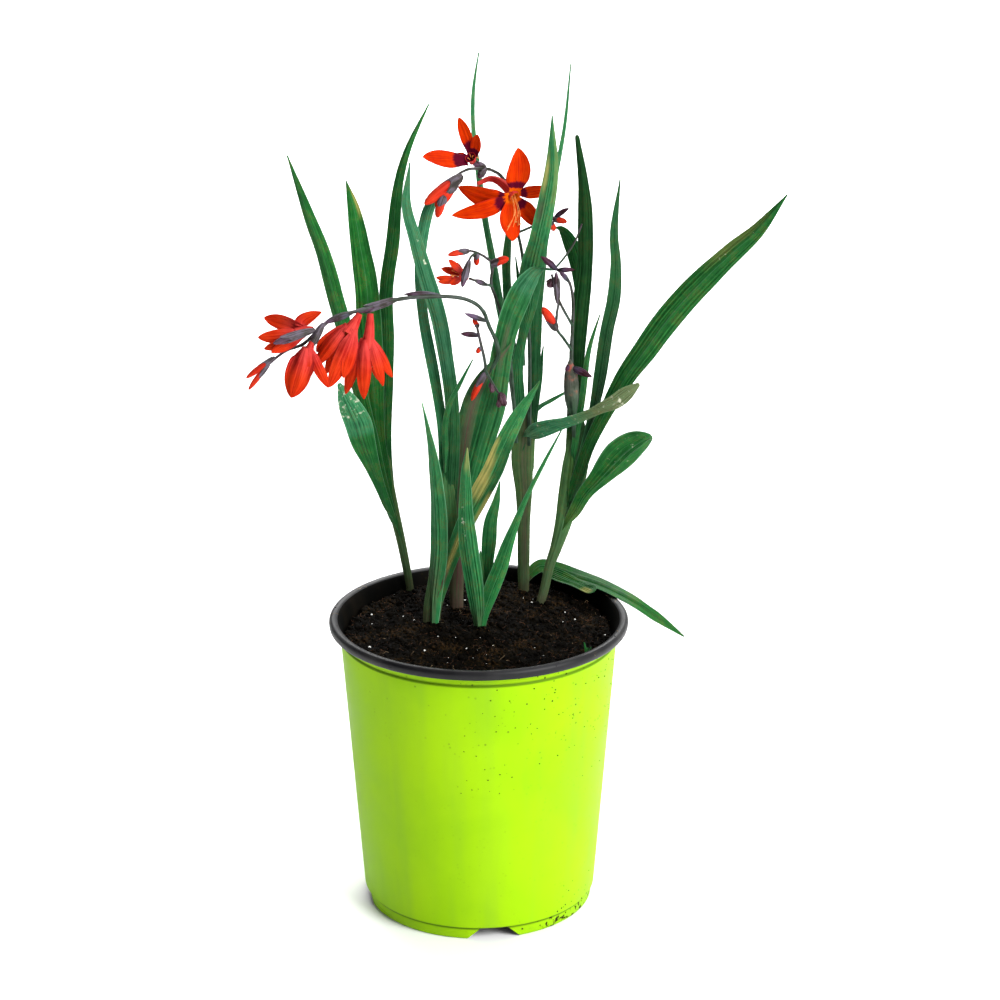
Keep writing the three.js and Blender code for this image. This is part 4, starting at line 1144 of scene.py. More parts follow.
@dataclass(frozen=True)
class Bloom:
    """An open flower: a tube, six spreading petals, and filaments that hang from its throat."""

    node: str
    run: Rows
    petals: Rows
    lift: float
    stamens: int
    hang: Row
    mouth: float = 6.4
    base: float = 2.2
    root: float = 0.45
    turn: float = 0.8
    closed: bool = False
    glow: float = 0.9
    plain: tuple[int, ...] = ()

    def tube(self, surface: Surface) -> None:
        """Adds the hollow tube, from the calyx to the throat and back down inside.

        Args:
            surface: The flower's surface.
        """
        rows = np.array(self.run, float)
        sides = 24
        across = np.array((1.0, 0.0, 0.0))
        outside, inside, shares = [], [], np.linspace(0, 1, 15)
        for t in shares:
            across, normal = squared(across, heading(rows, t))
            radius = self.girth(t) / 2 * (1 + 0.05 * np.cos(6 * turns(sides)) * t)
            for rings, reach in ((outside, radius), (inside, radius * 0.84)):
                rings.append(ring(along(rows, t), across, normal, reach, reach, sides))
        rings = np.array(outside + inside[:7:-1])
        spots = gridded(mirrored(sides), np.concatenate([shares, shares[:7:-1]]) * 0.4 + 2)
        tones = np.zeros((len(rings), sides, 5))
        tones[:15, :, 1] = 0.85
        tones[15:, :, 2 if self.glow else 0] = 0.8
        tones[:, :, 3] = 0.5
        surface.shell(rings, spots, tones, BloomPart.PETAL)

    def girth(self, t: float) -> float:
        """Gives the tube's width at a share of its length. A closed flower's petals hide its mouth."""
        return self.base + (self.mouth * (0.8 if self.closed else 1.0) - self.base) * t

    def axis(self) -> Points:
        """Finds where the flower faces.

        Returns:
            The direction in which it opens.
        """
        throat = np.array(self.run[-1], float)
        if self.closed:
            return unit(np.mean([tip[:3] for tip in self.petals], axis=0) - throat)
        return unit(throat - np.array(self.run[-2], float))

    def petal(self, surface: Surface, tip: Points, number: int) -> None:
        """Adds one petal, from inside the throat to its tip.

        Args:
            surface: The flower's surface.
            tip: The tip's place and the petal's width.
            number: The petal's number, which sets its curl and veins.
        """
        throat, axis = np.array(self.run[-1], float), self.axis()
        reach = tip[:3] - throat
        span = float(np.linalg.norm(reach))
        radial = unit(reach - axis * float(reach @ axis))
        across = np.cross(axis, radial)
        level = unit(np.cross(SIGHT, reach))
        across = unit(across + self.turn * level * (1 if across @ level > 0 else -1))
        ahead = float(reach @ axis)
        out = math.sqrt(max(span**2 - ahead**2, 0))
        hoop, behind, open_out = max(2.0, self.mouth / 2 - 0.9), 1.6, 0.4 * span
        if self.closed:
            behind = min(4.5, 0.5 * run_length(np.array(self.run, float)))
            hoop = self.girth(1 - behind / run_length(np.array(self.run, float))) / 2 - 0.3
            open_out = self.mouth / 2 + 0.25 * out
        root = throat - behind * axis + hoop * radial
        elbow = throat + max(self.lift * span, 0.4 * ahead) * axis + open_out * radial
        columns, steps = 13, 30
        u = np.linspace(-1, 1, columns)
        curl = 0.5 + 0.5 * math.sin(number * 2.3 + 1)
        sheet = Sheet()
        for t in np.linspace(0, 1, steps + 1):
            place = (1 - t) ** 2 * root + 2 * t * (1 - t) * elbow + t**2 * tip[:3]
            tangent = unit(2 * (1 - t) * (elbow - root) + 2 * t * (tip[:3] - elbow))
            side, normal = squared(across, tangent)
            shape = self.root + (1 - self.root) * float(smooth(t, 0.0, 0.44))
            shape = shape * (0.42 + 0.58 * float(smooth(t, 0.0, 0.3))) if self.closed else shape
            if t > 0.5:
                shape *= max(0.0, 1 - ((t - 0.5) / 0.502) ** 2.1) ** 0.72
            half = max(tip[3] * shape, 0.6) / 2
            height = -0.16 * half * (1 - u * u) + 0.05 * half * np.cos(3 * math.pi * u)
            height = height - 0.1 * half * np.abs(u) ** 3 * math.sin(5.0 * t + number * 1.7) * curl * 2
            height = height - 0.45 * (t**4) * curl
            if self.closed:
                bend = self.mouth / 2
                wrap = bend - np.sqrt(np.maximum(bend**2 - (u * half) ** 2, 0.5))
                height = height + wrap * (1 - smooth(t, 0.15, 0.8))
            thick = 0.34 + 0.3 * (1 - np.abs(u)) ** 1.3
            base = place + side * (u * half)[:, None] + normal * height[:, None]
            tone = np.zeros((columns, 5))
            blotch = smooth(t, 0.1, 0.2) if self.glow else 1.0
            blotch = blotch * (1 - smooth(t + 0.06 * np.abs(u), 0.22, 0.5)) * (number not in self.plain)
            tone[:, 0] = blotch
            tone[:, 2] = self.glow * (1 - smooth(t, 0.06, 0.18))
            tone[:, 3] = 0.5 + 0.04 * math.sin(number * 3.1)
            rear = tone.copy()
            rear[:, 0] = 0
            rear[:, 1] = 0.95 * (1 - 0.85 * smooth(t, 0.1, 0.7))
            rear[:, 2] = 0
            run = t * span / 30 + number * 3.1
            sheet.add(base, normal * (thick / 2)[:, None], run, rear if self.closed else tone, rear)
        surface.blade(sheet, BloomPart.PETAL)

    def filament(self, surface: Surface, index: int) -> None:
        """Adds one filament with its anther, from the throat to its tip.

        Args:
            surface: The flower's surface.
            index: The filament's number, which sets its place round the throat.
        """
        throat, axis = np.array(self.run[-1], float), self.axis()
        angle = (index + 0.5) / self.stamens * 2 * math.pi
        across = unit(np.cross(axis, UP))
        over = np.cross(across, axis)
        side = across * math.cos(angle) + over * math.sin(angle)
        steps = ((-1.6, 0, 1.0), (3, 0.4, 2.0), (0, 1, 3.0 if self.closed else 5.0))
        hang = np.array(self.hang, float)
        rows = np.array([throat + axis * ahead + hang * share + side * out for ahead, share, out in steps])
        self.strand(surface, rows, np.full(13, 0.32), BloomPart.FILAMENT)
        tip, ahead = rows[-1], heading(rows, 1.0)
        level = unit(np.cross(ahead, UP)) * 0.9
        ends = np.array([tip - level - ahead * 0.4, tip, tip + level - ahead * 0.2])
        swell = 0.6 * np.sin(math.pi * np.linspace(0.08, 0.92, 13)) ** 0.6
        self.strand(surface, ends, swell, BloomPart.ANTHER)

    def strand(self, surface: Surface, rows: Points, widths: Points, finish: int) -> None:
        """Adds a thin round strand.

        Args:
            surface: The flower's surface.
            rows: The points that it passes through.
            widths: Its width at each ring.
            finish: The index of its material.
        """
        sides, shares = 8, np.linspace(0, 1, len(widths))
        across = np.array((0.36, 0.48, 0.8))
        rings = []
        for t, width in zip(shares, widths):
            across, normal = squared(across, heading(rows, t))
            rings.append(ring(along(rows, t), across, normal, width / 2, width / 2, sides))
        tone = np.array((0, 0, 0, 0.5, 0.0))
        surface.shell(np.array(rings), gridded(turns(sides) / 7, shares), tone, finish)

    def build(self, materials: Sequence[Material]) -> Object:
        """Makes the flower as one piece that replaces its node.

        Args:
            materials: Its materials: petal, filament and anther.

        Returns:
            The piece.
        """
        surface = Surface()
        self.tube(surface)
        for number, tip in enumerate(self.petals):
            self.petal(surface, np.array(tip, float), number)
        for index in range(self.stamens):
            self.filament(surface, index)
        item = surface.piece(f"{self.node}_flower", materials)
        declare(item, "petal", self.node)
        return item


def prism(mesh: Shape, outline: Sequence[Pair], near: float, far: float, turn: float) -> None:
    """Adds a straight prism that reaches out from the axis, for a notch in the foot.

    Args:
        mesh: The shape that it joins.
        outline: Its outline, as (across, height) in millimetres.
        near: How far from the axis it starts.
        far: How far from the axis it ends.
        turn: How far it is turned about +Z from -Y, in degrees.
    """
    cosine, sine = math.cos(math.radians(turn)), math.sin(math.radians(turn))
    ends: list[list[bmesh.types.BMVert]] = [[], []]
    for corners, y in zip(ends, (near, far)):
        for x, z in outline:
            place = ((x * cosine + y * sine) * MM, (x * sine - y * cosine) * MM, z * MM)
            corners.append(mesh.verts.new(place))
    inner, outer = ends
    mesh.faces.new(inner)
    mesh.faces.new(outer[::-1])
    for k in range(len(outline)):
        after = (k + 1) % len(outline)
        mesh.faces.new((inner[after], inner[k], outer[k], outer[after]))
    bmesh.ops.recalc_face_normals(mesh, faces=mesh.faces)


def skin(item: Object, wanted: Callable[[Face], bool]) -> Object:
    """Copies some of an object's faces, for what lies on them.

    Args:
        item: The object.
        wanted: Tells whether a face is copied.

    Returns:
        A helper object with the faces.
    """
    keep = {face.index for face in item.data.polygons if wanted(face)}
    mesh = bmesh.new()
    mesh.from_mesh(item.data)
    others = [face for face in mesh.faces if face.index not in keep]
    bmesh.ops.delete(mesh, geom=others, context="FACES")
    return loose(f"{item.name}_skin", mesh)


def baked(item: Object) -> bpy.types.Mesh:
    """Gives an object's mesh with its modifiers applied, and clears them.

    Args:
        item: The object.

    Returns:
        The mesh.
    """
    graph = bpy.context.evaluated_depsgraph_get()
    live = item.evaluated_get(graph)
    mesh = bpy.data.meshes.new_from_object(live, preserve_all_data_layers=True, depsgraph=graph)
    item.modifiers.clear()
    return mesh


def loose(name: str, shape: Shape) -> Object:
    """Puts a helper shape in the scene for as long as it is needed.

    Args:
        name: Its name.
        shape: The shape, which is used up.

    Returns:
        The helper.
    """
    mesh = bpy.data.meshes.new(name)
    shape.to_mesh(mesh)
    shape.free()
    return placed(name, mesh)


class PotPart(IntEnum):
    """The pot's materials, in order."""

    GREEN = 0
    BLACK = 1
    CHARCOAL = 2


@dataclass(frozen=True)
class Pot:
    """A two-layer nursery pot: lime-green outside, black inside, with a rolled charcoal rim."""

    rim_foot: float = 166.1
    rim_inside: float = 79.7
    foot: float = 65.2
    ledge: float = 66.95
    ledge_height: float = 8.6
    slope: float = 11.65 / 151.6
    skin: float = 0.75
    foot_height: float = 7.2
    wall: float = 1.4
    notches: int = 4
    notch_turn: float = 7.8
    notch_low: float = 33.0
    notch_high: float = 15.4
    notch_depth: float = 15.0
    drain: float = 3.6
    sides: int = 240

    def outline(self) -> list[Pair]:
        """Lists the wall's section, from under the base round the rim.

        Returns:
            Its points, as (radius, height).
        """
        foot = [(0, 0), (40, 0), (63.6, 0), (64.3, 0.15), (64.9, 0.6), (65.2, 1.3), (65.4, 6.6)]
        ledge = [(65.45, 7.1), (65.8, 7.45), (66.5, 7.75), (66.85, 8.1), (66.95, 8.8), (67.1, 10.4)]
        wall = [(68.6, 30.0), (71.0, 61.0), (73.3, 92.0), (75.7, 123.0), (78.0, 153.0)]
        neck = [(78.55, 159.6), (78.6, 160.3), (78.35, 160.8), (78.15, 161.1), (78.2, 162.0), (78.45, 165.4)]
        under = [(78.9, 166.05), (80.2, 166.25), (83.4, 166.3), (84.2, 166.5), (84.6, 167.0), (84.88, 167.9)]
        roll = [(85.0, 169.0), (84.92, 169.8), (84.65, 170.5), (84.2, 171.1), (83.6, 171.55), (82.9, 171.8)]
        lip = [(82.0, 171.74), (81.0, 171.4), (80.1, 170.8), (79.3, 169.8), (78.6, 168.3), (77.6, 165.2)]
        inside = [(75.2, 134.0), (72.2, 95.0), (69.2, 56.0), (65.7, 10.2), (65.2, 8.8), (63.8, 6.2)]
        floor = [(62.8, 1.6), (30, 1.6), (0, 1.6)]
        return foot + ledge + wall + neck + under + roll + lip + inside + floor

    def lathe(self, outline: Sequence[Pair]) -> Shape:
        """Turns an outline about the pot's axis into a closed shape.

        Args:
            outline: The section, as (radius, height), from axis to axis.

        Returns:
            The shape.
        """
        mesh = bmesh.new()
        rings: list[list[bmesh.types.BMVert]] = []
        for radius, height in outline:
            angles = [2 * math.pi * j / self.sides for j in range(self.sides if radius else 1)]
            places = [(radius * math.cos(angle) * MM, radius * math.sin(angle) * MM) for angle in angles]
            rings.append([mesh.verts.new((*place, height * MM)) for place in places])
        for low, high in zip(rings, rings[1:]):
            for j in range(self.sides):
                after = (j + 1) % self.sides
                places = ((low, j), (low, after), (high, after), (high, j))
                mesh.faces.new(list(dict.fromkeys(level[k % len(level)] for level, k in places)))
        bmesh.ops.recalc_face_normals(mesh, faces=mesh.faces)
        return mesh

    def notch_blocks(self, grow: float) -> Shape:
        """Makes the blocks of all the drainage notches.

        Args:
            grow: How much they are grown all round.

        Returns:
            The blocks.
        """
        low, high, top = self.notch_low / 2 + grow, self.notch_high / 2 + grow, self.foot_height + grow
        outline = [(-low, -1), (low, -1), (high, top), (-high, top)]
        mesh = bmesh.new()
        for index in range(self.notches):
            turn = self.notch_turn + 360 / self.notches * index
            prism(mesh, outline, self.foot - self.notch_depth - grow, self.foot + 8, turn)
        return mesh

    def drain_bars(self) -> Shape:
        """Makes the round bars that cut the drain holes, one above each notch.

        Returns:
            The bars.
        """
        mesh = bmesh.new()
        reach = (self.foot - self.notch_depth / 2 - 1) * MM
        for index in range(self.notches):
            turn = math.radians(self.notch_turn + 360 / self.notches * index)
            place = (reach * math.sin(turn), -reach * math.cos(turn), self.foot_height * MM)
            size = {"radius1": self.drain * MM, "radius2": self.drain * MM, "depth": 8 * MM}
            bar = bmesh.ops.create_cone(mesh, cap_ends=True, segments=28, **size)
            bmesh.ops.translate(mesh, verts=bar["verts"], vec=place)
        return mesh

    def combine(self, item: Object, other: Shape, operation: str) -> None:
        """Joins a shape to another one or cuts it away.

        Args:
            item: The object whose mesh is renewed.
            other: The other shape.
            operation: UNION, DIFFERENCE or INTERSECT.
        """
        tool = loose("tool", other)
        change = item.modifiers.new("change", "BOOLEAN")
        change.object = tool
        change.operation = operation
        change.solver = "EXACT"
        item.data = baked(item)
        bpy.data.objects.remove(tool)

    def moulding(self) -> Object:
        """Makes the pot's wall with its notches and drain holes.

        Returns:
            The moulding, still without its finishes.
        """
        item = loose("pot_moulding", self.lathe(self.outline()))
        within = [(0, 0.3), (64.5, 0.3), (64.7, 7.6), (66.3, 9.2), (67.2, 24.0), (0, 24.0)]
        recess = loose("recess", self.notch_blocks(self.wall))
        self.combine(recess, self.lathe(within), "INTERSECT")
        shape = bmesh.new()
        shape.from_mesh(recess.data)
        bpy.data.objects.remove(recess)
        self.combine(item, shape, "UNION")
        self.combine(item, self.notch_blocks(0.0), "DIFFERENCE")
        self.combine(item, self.drain_bars(), "DIFFERENCE")
        return item

    def finish_of(self, face: Face) -> PotPart:
        """Tells which finish a face has.

        Args:
            face: The face.

        Returns:
            Charcoal for the rim, green for the outside, black for the rest.
        """
        x, y, z = (value / MM for value in face.center)
        radius = math.hypot(x, y)
        if z > self.rim_foot and radius > self.rim_inside:
            return PotPart.CHARCOAL
        if z < 0.3:
            outside = radius < 64.8 and face.normal.z < -0.7
        else:
            wall = self.foot if z < 8.0 else self.ledge + self.slope * (z - self.ledge_height)
            outward = (face.normal.x * x + face.normal.y * y) / max(radius, 1e-6)
            outside = radius > wall - self.skin and outward > -0.2
        return PotPart.GREEN if outside else PotPart.BLACK

    def is_splashed(self, face: Face) -> bool:
        """Tells whether a face lies where the green wall is dirty.

        Args:
            face: The face.

        Returns:
            True for the front's upper right, and for its foot at the right.
        """
        x, y, z = face.center
        dirty = (z > 0.1 and x > -0.012) or (0.002 < z < 0.03 and x > 0.038)
        return dirty and face.material_index == PotPart.GREEN and y < 0 and face.normal.y < -0.1

    def is_rim(self, face: Face) -> bool:
        """Tells whether a face is the front or the top of the rim."""
        return face.material_index == PotPart.CHARCOAL and face.center.z > 0.1675

    def build(self, materials: Sequence[Material]) -> Object:
        """Makes the pot as one piece that replaces its node.

        Args:
            materials: Its materials: green, black and charcoal.

        Returns:
            The piece.
        """
        item = self.moulding()
        mesh = item.data
        bpy.data.objects.remove(item)
        mesh.materials.clear()
        for material in materials:
            mesh.materials.append(material)
        for face in mesh.polygons:
            face.material_index = self.finish_of(face)
        mesh.name = "pot_two_layer"
        piece = finished("pot_two_layer", mesh, 32)
        declare(piece, "pot", "pot")
        return piece


class Growth(Tree):
    """A Geometry Nodes tree in the making, with named sizes."""

    def __init__(self, name: str, sizes: dict[str, float]) -> None:
        """Starts a tree with a mesh input, named number inputs and a mesh output.

        Args:
            name: The tree's name.
            sizes: Its number inputs and their first values.
        """
        super().__init__(bpy.data.node_groups.new(name, "GeometryNodeTree"))
        face = self.tree.interface
        for way in ("OUTPUT", "INPUT"):
            face.new_socket("Geometry", in_out=way, socket_type="NodeSocketGeometry")
        for title, number in sizes.items():
            face.new_socket(title, in_out="INPUT", socket_type="NodeSocketFloat").default_value = number
        self.sizes = sizes
        self.source = self.tree.nodes.new("NodeGroupInput")

    def size(self, title: str) -> Socket:
        """Gives a named input."""
        return self.source.outputs[title]

    def chance(self, low: Value, high: Value, seed: int) -> Socket:
        """Gives a random number for each point."""
        return self.node("FunctionNodeRandomValue", {2: low, 3: high, 8: seed}, 1, data_type="FLOAT")

    def chances(self, low: Sequence[float], high: Sequence[float], seed: int) -> Socket:
        """Gives three random numbers for each point."""
        return self.node("FunctionNodeRandomValue", {0: low, 1: high, 8: seed}, data_type="FLOAT_VECTOR")

    def stir(self, geometry: Socket, scale: float, reach: Value) -> Socket:
        """Moves every point by soft noise.

        Args:
            geometry: The mesh or curves.
            scale: How often the noise repeats in a metre.
            reach: How far it moves them, in metres.

        Returns:
            The moved geometry.
        """
        place = self.node("GeometryNodeInputPosition", {})
        pattern = self.node("ShaderNodeTexNoise", {"Vector": place, "Scale": scale, "Detail": 1.0}, "Color")
        step = self.node("ShaderNodeVectorMath", {0: pattern, 1: (0.5, 0.5, 0.5)}, operation="SUBTRACT")
        return self.node("GeometryNodeSetPosition", {0: geometry, "Offset": self.scaled(step, reach)})

    def scatter(self, shape: Socket, turn: Socket, scale: Socket, seed: int) -> Socket:
        """Puts a shape on random points of the input mesh and makes the copies real.

        Args:
            shape: The mesh or curve to repeat.
            turn: Each copy's rotation.
            scale: Each copy's scale.
            seed: The seed of the points.

        Returns:
            The real copies.
        """
        where = {"Mesh": self.size("Geometry"), "Density": self.size("Density"), "Seed": seed}
        points = self.node("GeometryNodeDistributePointsOnFaces", where, "Points")
        what = {"Points": points, "Instance": shape, "Rotation": turn, "Scale": scale}
        copies = self.node("GeometryNodeInstanceOnPoints", what)
        return self.node("GeometryNodeRealizeInstances", {0: copies})

    def close(self, geometry: Socket, material: Material, rounded: bool) -> None:
        """Ends the tree with its shading and its material.

        Args:
            geometry: The mesh.
            material: Its material.
            rounded: True to shade it smooth.
        """
        shaded = self.node("GeometryNodeSetShadeSmooth", {"Geometry": geometry, "Shade Smooth": rounded})
        real = self.node("GeometryNodeRealizeInstances", {0: shaded})
        dressed = self.node("GeometryNodeSetMaterial", {"Geometry": real, "Material": material})
        self.feed(self.tree.nodes.new("NodeGroupOutput").inputs[0], dressed)

    def grow(self, name: str, bed: Object, slot: str) -> Object:
        """Runs the tree on a mesh and keeps the result as a piece of its own.

        Args:
            name: The new piece's name.
            bed: The object whose faces it grows on, which stays as it was.
            slot: A slot name, passed on to declare.

        Returns:
            The piece.
        """
        carrier = placed(f"{name}_bed", bed.data.copy())
        change = carrier.modifiers.new("growth", "NODES")
        change.node_group = self.tree
        for item in self.tree.interface.items_tree:
            if item.item_type == "SOCKET" and item.in_out == "INPUT" and item.name in self.sizes:
                change[item.identifier] = self.sizes[item.name]
        mesh = baked(carrier)
        bpy.data.objects.remove(carrier)
        mesh.name = name
        piece = placed(name, mesh)
        declare(piece, slot)
        return piece


@dataclass(frozen=True)
class Scatter:
    """Small lumps or fibres of one kind, scattered on a surface."""

    name: str
    slot: str
    density: float
    small: float
    large: float
    squash: Pair
    seed: int
    rounded: bool = False
    facets: int = 1

    def sizes(self) -> dict[str, float]:
        """Gives the named sizes of its tree."""
        return {"Density": self.density, "Small": self.small * MM, "Large": self.large * MM}

    def lumps(self, bed: Object, material: Material) -> None:
        """Scatters uneven lumps, such as crumbs of soil or grains of perlite.

        Args:
            bed: The object whose faces they lie on.
            material: Their material.
        """
        growth = Growth(self.name, self.sizes())
        lump = growth.node("GeometryNodeMeshIcoSphere", {"Radius": 1.0, "Subdivisions": self.facets}, "Mesh")
        size = growth.chance(growth.size("Small"), growth.size("Large"), self.seed + 1)
        shape = growth.chances((0.7, 0.7, self.squash[0]), (1.3, 1.3, self.squash[1]), self.seed + 2)
        turn = growth.chances((-0.9, -0.9, 0.0), (0.9, 0.9, 6.28), self.seed + 3)
        copies = growth.scatter(lump, turn, growth.scaled(shape, size), self.seed)
        growth.close(growth.stir(copies, 900.0, 0.9 * self.small * MM), material, self.rounded)
        growth.grow(self.name, bed, self.slot)

    def fibres(self, bed: Object, material: Material, thick: float, tilt: float) -> None:
        """Scatters bent fibres, such as roots and strands of peat.

        Args:
            bed: The object whose faces they lie on.
            material: Their material.
            thick: Their thickness, in millimetres.
            tilt: How far they may stand up, in radians.
        """
        growth = Growth(self.name, self.sizes() | {"Thick": thick * MM})
        ends = {"Start": (-0.5, 0.0, 0.0), "End": (0.5, 0.0, 0.0)}
        line = growth.node("GeometryNodeCurvePrimitiveLine", ends)
        bent = growth.node("GeometryNodeResampleCurve", {"Curve": line, "Count": 7})
        size = growth.chance(growth.size("Small"), growth.size("Large"), self.seed + 1)
        scale = growth.node("ShaderNodeCombineXYZ", {"X": size, "Y": size, "Z": size})
        turn = growth.chances((-tilt, -tilt, 0.0), (tilt, tilt, 6.28), self.seed + 3)
        copies = growth.scatter(bent, turn, scale, self.seed)
        wavy = growth.stir(copies, 260.0, 0.9 * self.large * MM)
        wire = {"Resolution": 4, "Radius": growth.size("Thick")}
        profile = growth.node("GeometryNodeCurvePrimitiveCircle", wire)
        solid = {"Curve": wavy, "Profile Curve": profile, "Fill Caps": True}
        growth.close(growth.node("GeometryNodeCurveToMesh", solid), material, True)
        growth.grow(self.name, bed, self.slot)


@dataclass(frozen=True)
class Soil:
    """The pot's filling: a crumbly top, and a plain body that stays clear of the notches."""

    radius: float = 75.7
    rings: int = 84
    sides: int = 260
    shelf: float = 10.6
    core: float = 47.6
    floor: float = 2.2

    def relief(self, x: float, y: float) -> float:
        """Gives the crumbly relief of the top at a place, in millimetres."""
        place = Vector((x, y, 3.0))
        return 1.1 * noise.fractal(place * 0.11, 1.0, 2.0, 3) + noise.fractal(place * 0.42, 0.9, 2.1, 4)

    def build(self, material: Material) -> Object:
        """Makes the soil as one piece that replaces its node.

        Args:
            material: Its material.

        Returns:
            The piece.
        """
        turn = np.arange(self.sides) / self.sides * 2 * math.pi
        cosine, sine = np.cos(turn), np.sin(turn)
        body = ((self.core, self.floor), (self.core, self.shelf), (64.6, self.shelf), (75.2, 150.0))
        level = np.ones(self.sides)
        rings = [np.stack([radius * cosine, radius * sine, height * level], -1) for radius, height in body]
        for share in np.linspace(1, 0.012, self.rings):
            x, y = self.radius * share * cosine, self.radius * share * sine
            rough = np.array([self.relief(a, b) for a, b in zip(x, y)])
            sink = 2.0 * smooth(share, 0.97, 1.0)
            rings.append(np.stack([x, y, soil_height(x, y) + rough - sink], -1))
        surface = Surface()
        table = np.array(rings)
        surface.shell(table, table[:, :, :2] / 100, np.zeros(5))
        item = surface.piece("soil_bed", [material], 70)
        declare(item, "soil", "soil")
        return item

    def is_top(self, face: Face) -> bool:
        """Tells whether a face is part of the crumbly top."""
        inner = face.center.xy.length < 0.985 * self.radius * MM
        return inner and face.normal.z > 0.2 and face.center.z > 0.15


@dataclass(frozen=True)
class Sprout:
    """A small green seedling beside the rim."""

    foot: Row = (60.5, -32.0)
    blades: tuple[Row, ...] = ((-1.4, 0.4, 7.0, 1.5), (2.4, -0.6, 4.6, 1.3), (0.6, 1.2, 3.6, 1.1))

    def build(self, finish: Material) -> None:
        """Makes the seedling's blades as one piece.

        Args:
            finish: The leaf material.
        """
        surface = Surface()
        x, y = self.foot
        ground = float(soil_height(x, y)) - 1.5
        for number, (lean_x, lean_y, height, width) in enumerate(self.blades):
            steps = (
                (0, 0, width * 0.6), (0.2, 0.4 * height, width), (0.55, 0.75 * height, width * 0.9),
                (1, height + 1.5, 0.5),
            )
            rib = tuple((x + out * lean_x, y + out * lean_y, ground + up, wide) for out, up, wide in steps)
            blade = Leaf((0, 20 * number), 0.62, rib=rib, columns=7, edge=0.3, core=0.5)
            blade.grow(surface, number)
        declare(surface.piece("sprout", [finish]), "leaf")


@dataclass(frozen=True)
class Studio:
    """A plain white floor, soft light and the photograph's camera."""

    place: Row = (0.0121, -1.5129, 0.7676)
    pitch: float = 70.8
    lens: float = 102.996
    floor: float = 8.0
    sky: Pair = (0.02, 0.96)

    def camera(self) -> None:
        """Sets the camera at the photograph's place."""
        data = bpy.data.cameras.new("camera")
        data.sensor_width = 36.0
        data.lens = self.lens
        data.clip_end = 60.0
        item = placed("camera", data)
        item.location = self.place
        item.rotation_euler = (math.radians(self.pitch), 0.0, 0.0)
        bpy.context.scene.camera = item

    def lamp(self, name: str, place: Row, aim: Row, size: float, power: float) -> None:
        """Adds one soft square lamp.

        Args:
            name: Its name.
            place: Where it stands, in metres.
            aim: What it faces, in metres.
            size: Its side, in metres.
            power: Its power, in watts.
        """
        data = bpy.data.lights.new(name, "AREA")
        data.shape = "SQUARE"
        data.size = size
        data.energy = power
        item = placed(name, data)
        item.location = place
        item.rotation_euler = (Vector(aim) - Vector(place)).to_track_quat("-Z", "Y").to_euler()

    def grade(self, world: bpy.types.World) -> None:
        """Makes the sky grey on the left and bright on the right, as beside a large window.

        Args:
            world: The world, with its first nodes.
        """
        nodes, link = world.node_tree.nodes, world.node_tree.links.new
        parts, share = nodes.new("ShaderNodeSeparateXYZ"), nodes.new("ShaderNodeMapRange")
        link(nodes.new("ShaderNodeTexCoord").outputs["Generated"], parts.inputs[0])
        link(parts.outputs[0], share.inputs[0])
        for socket, number in zip(share.inputs[1:5], (-0.9, 0.9, *self.sky)):
            socket.default_value = number
        link(share.outputs[0], nodes["Background"].inputs["Strength"])
        nodes["Background"].inputs["Color"].default_value = (1.0, 1.0, 1.0, 1.0)

    def build(self) -> None:
        """Makes the floor, the lights, the sky and the camera."""
        shape = bmesh.new()
        bmesh.ops.create_grid(shape, x_segments=2, y_segments=2, size=self.floor)
        floor = loose("floor", shape)
        paint = Paint("white_sweep")
        broad = paint.grain(3.0)
        white = paint.blend(broad, (0.93, 0.93, 0.93, 1), (0.96, 0.96, 0.96, 1))
        floor.data.materials.append(paint.shade(white, 0.9))
        world = bpy.data.worlds.new("studio")
        world.use_nodes = True
        self.grade(world)
        bpy.context.scene.world = world
        bpy.context.scene.view_settings.view_transform = "Standard"
        self.lamp("key", (1.9, -1.7, 1.7), (0, 0, 0.2), 1.4, 118)
        self.lamp("top", (0.2, 0.5, 2.4), (0, 0, 0.2), 2.0, 16)
        self.lamp("sweep", (0, 2.9, 2.6), (0, 2.7, 0), 3.0, 240)
        self.camera()


# The spent leaf that leaves the rear stalk and lies over the rim, and its side lobe.
RIM_REST = 171.8 + 0.35 + 0.55
FALLEN = (
    LyingLeaf(fold=0.05, light=0.28, blue=0, patches=(
        Patch(LIGHT, 0.66, 1, 0.12), Patch(BROWN, 0, 0.1, 0.5),
    ), rib=(
        (26.5, 60, 168, 3), (30, 63, 173, 6), (36, 66, RIM_REST + 4, 9), (44, 65, RIM_REST + 2.5, 11),
        (54, 58, RIM_REST + 1.2, 12.5), (70, 44, RIM_REST + 1, 13), (87, 25, RIM_REST - 1, 11.5),
        (101, 19, 164, 9.5), (118, 16, 152, 0.8),
    )),
    LyingLeaf(fold=0.03, light=0.28, blue=0, patches=(Patch(YELLOW, 0.84, 0.96, 0.45, -0.2, 0.5),), rib=(
        (36, 67, RIM_REST + 2.5, 4), (45, 57, RIM_REST + 2, 8), (56, 47, RIM_REST + 0.6, 9.5),
        (67, 34, RIM_REST + 0.4, 7),
    )),
)

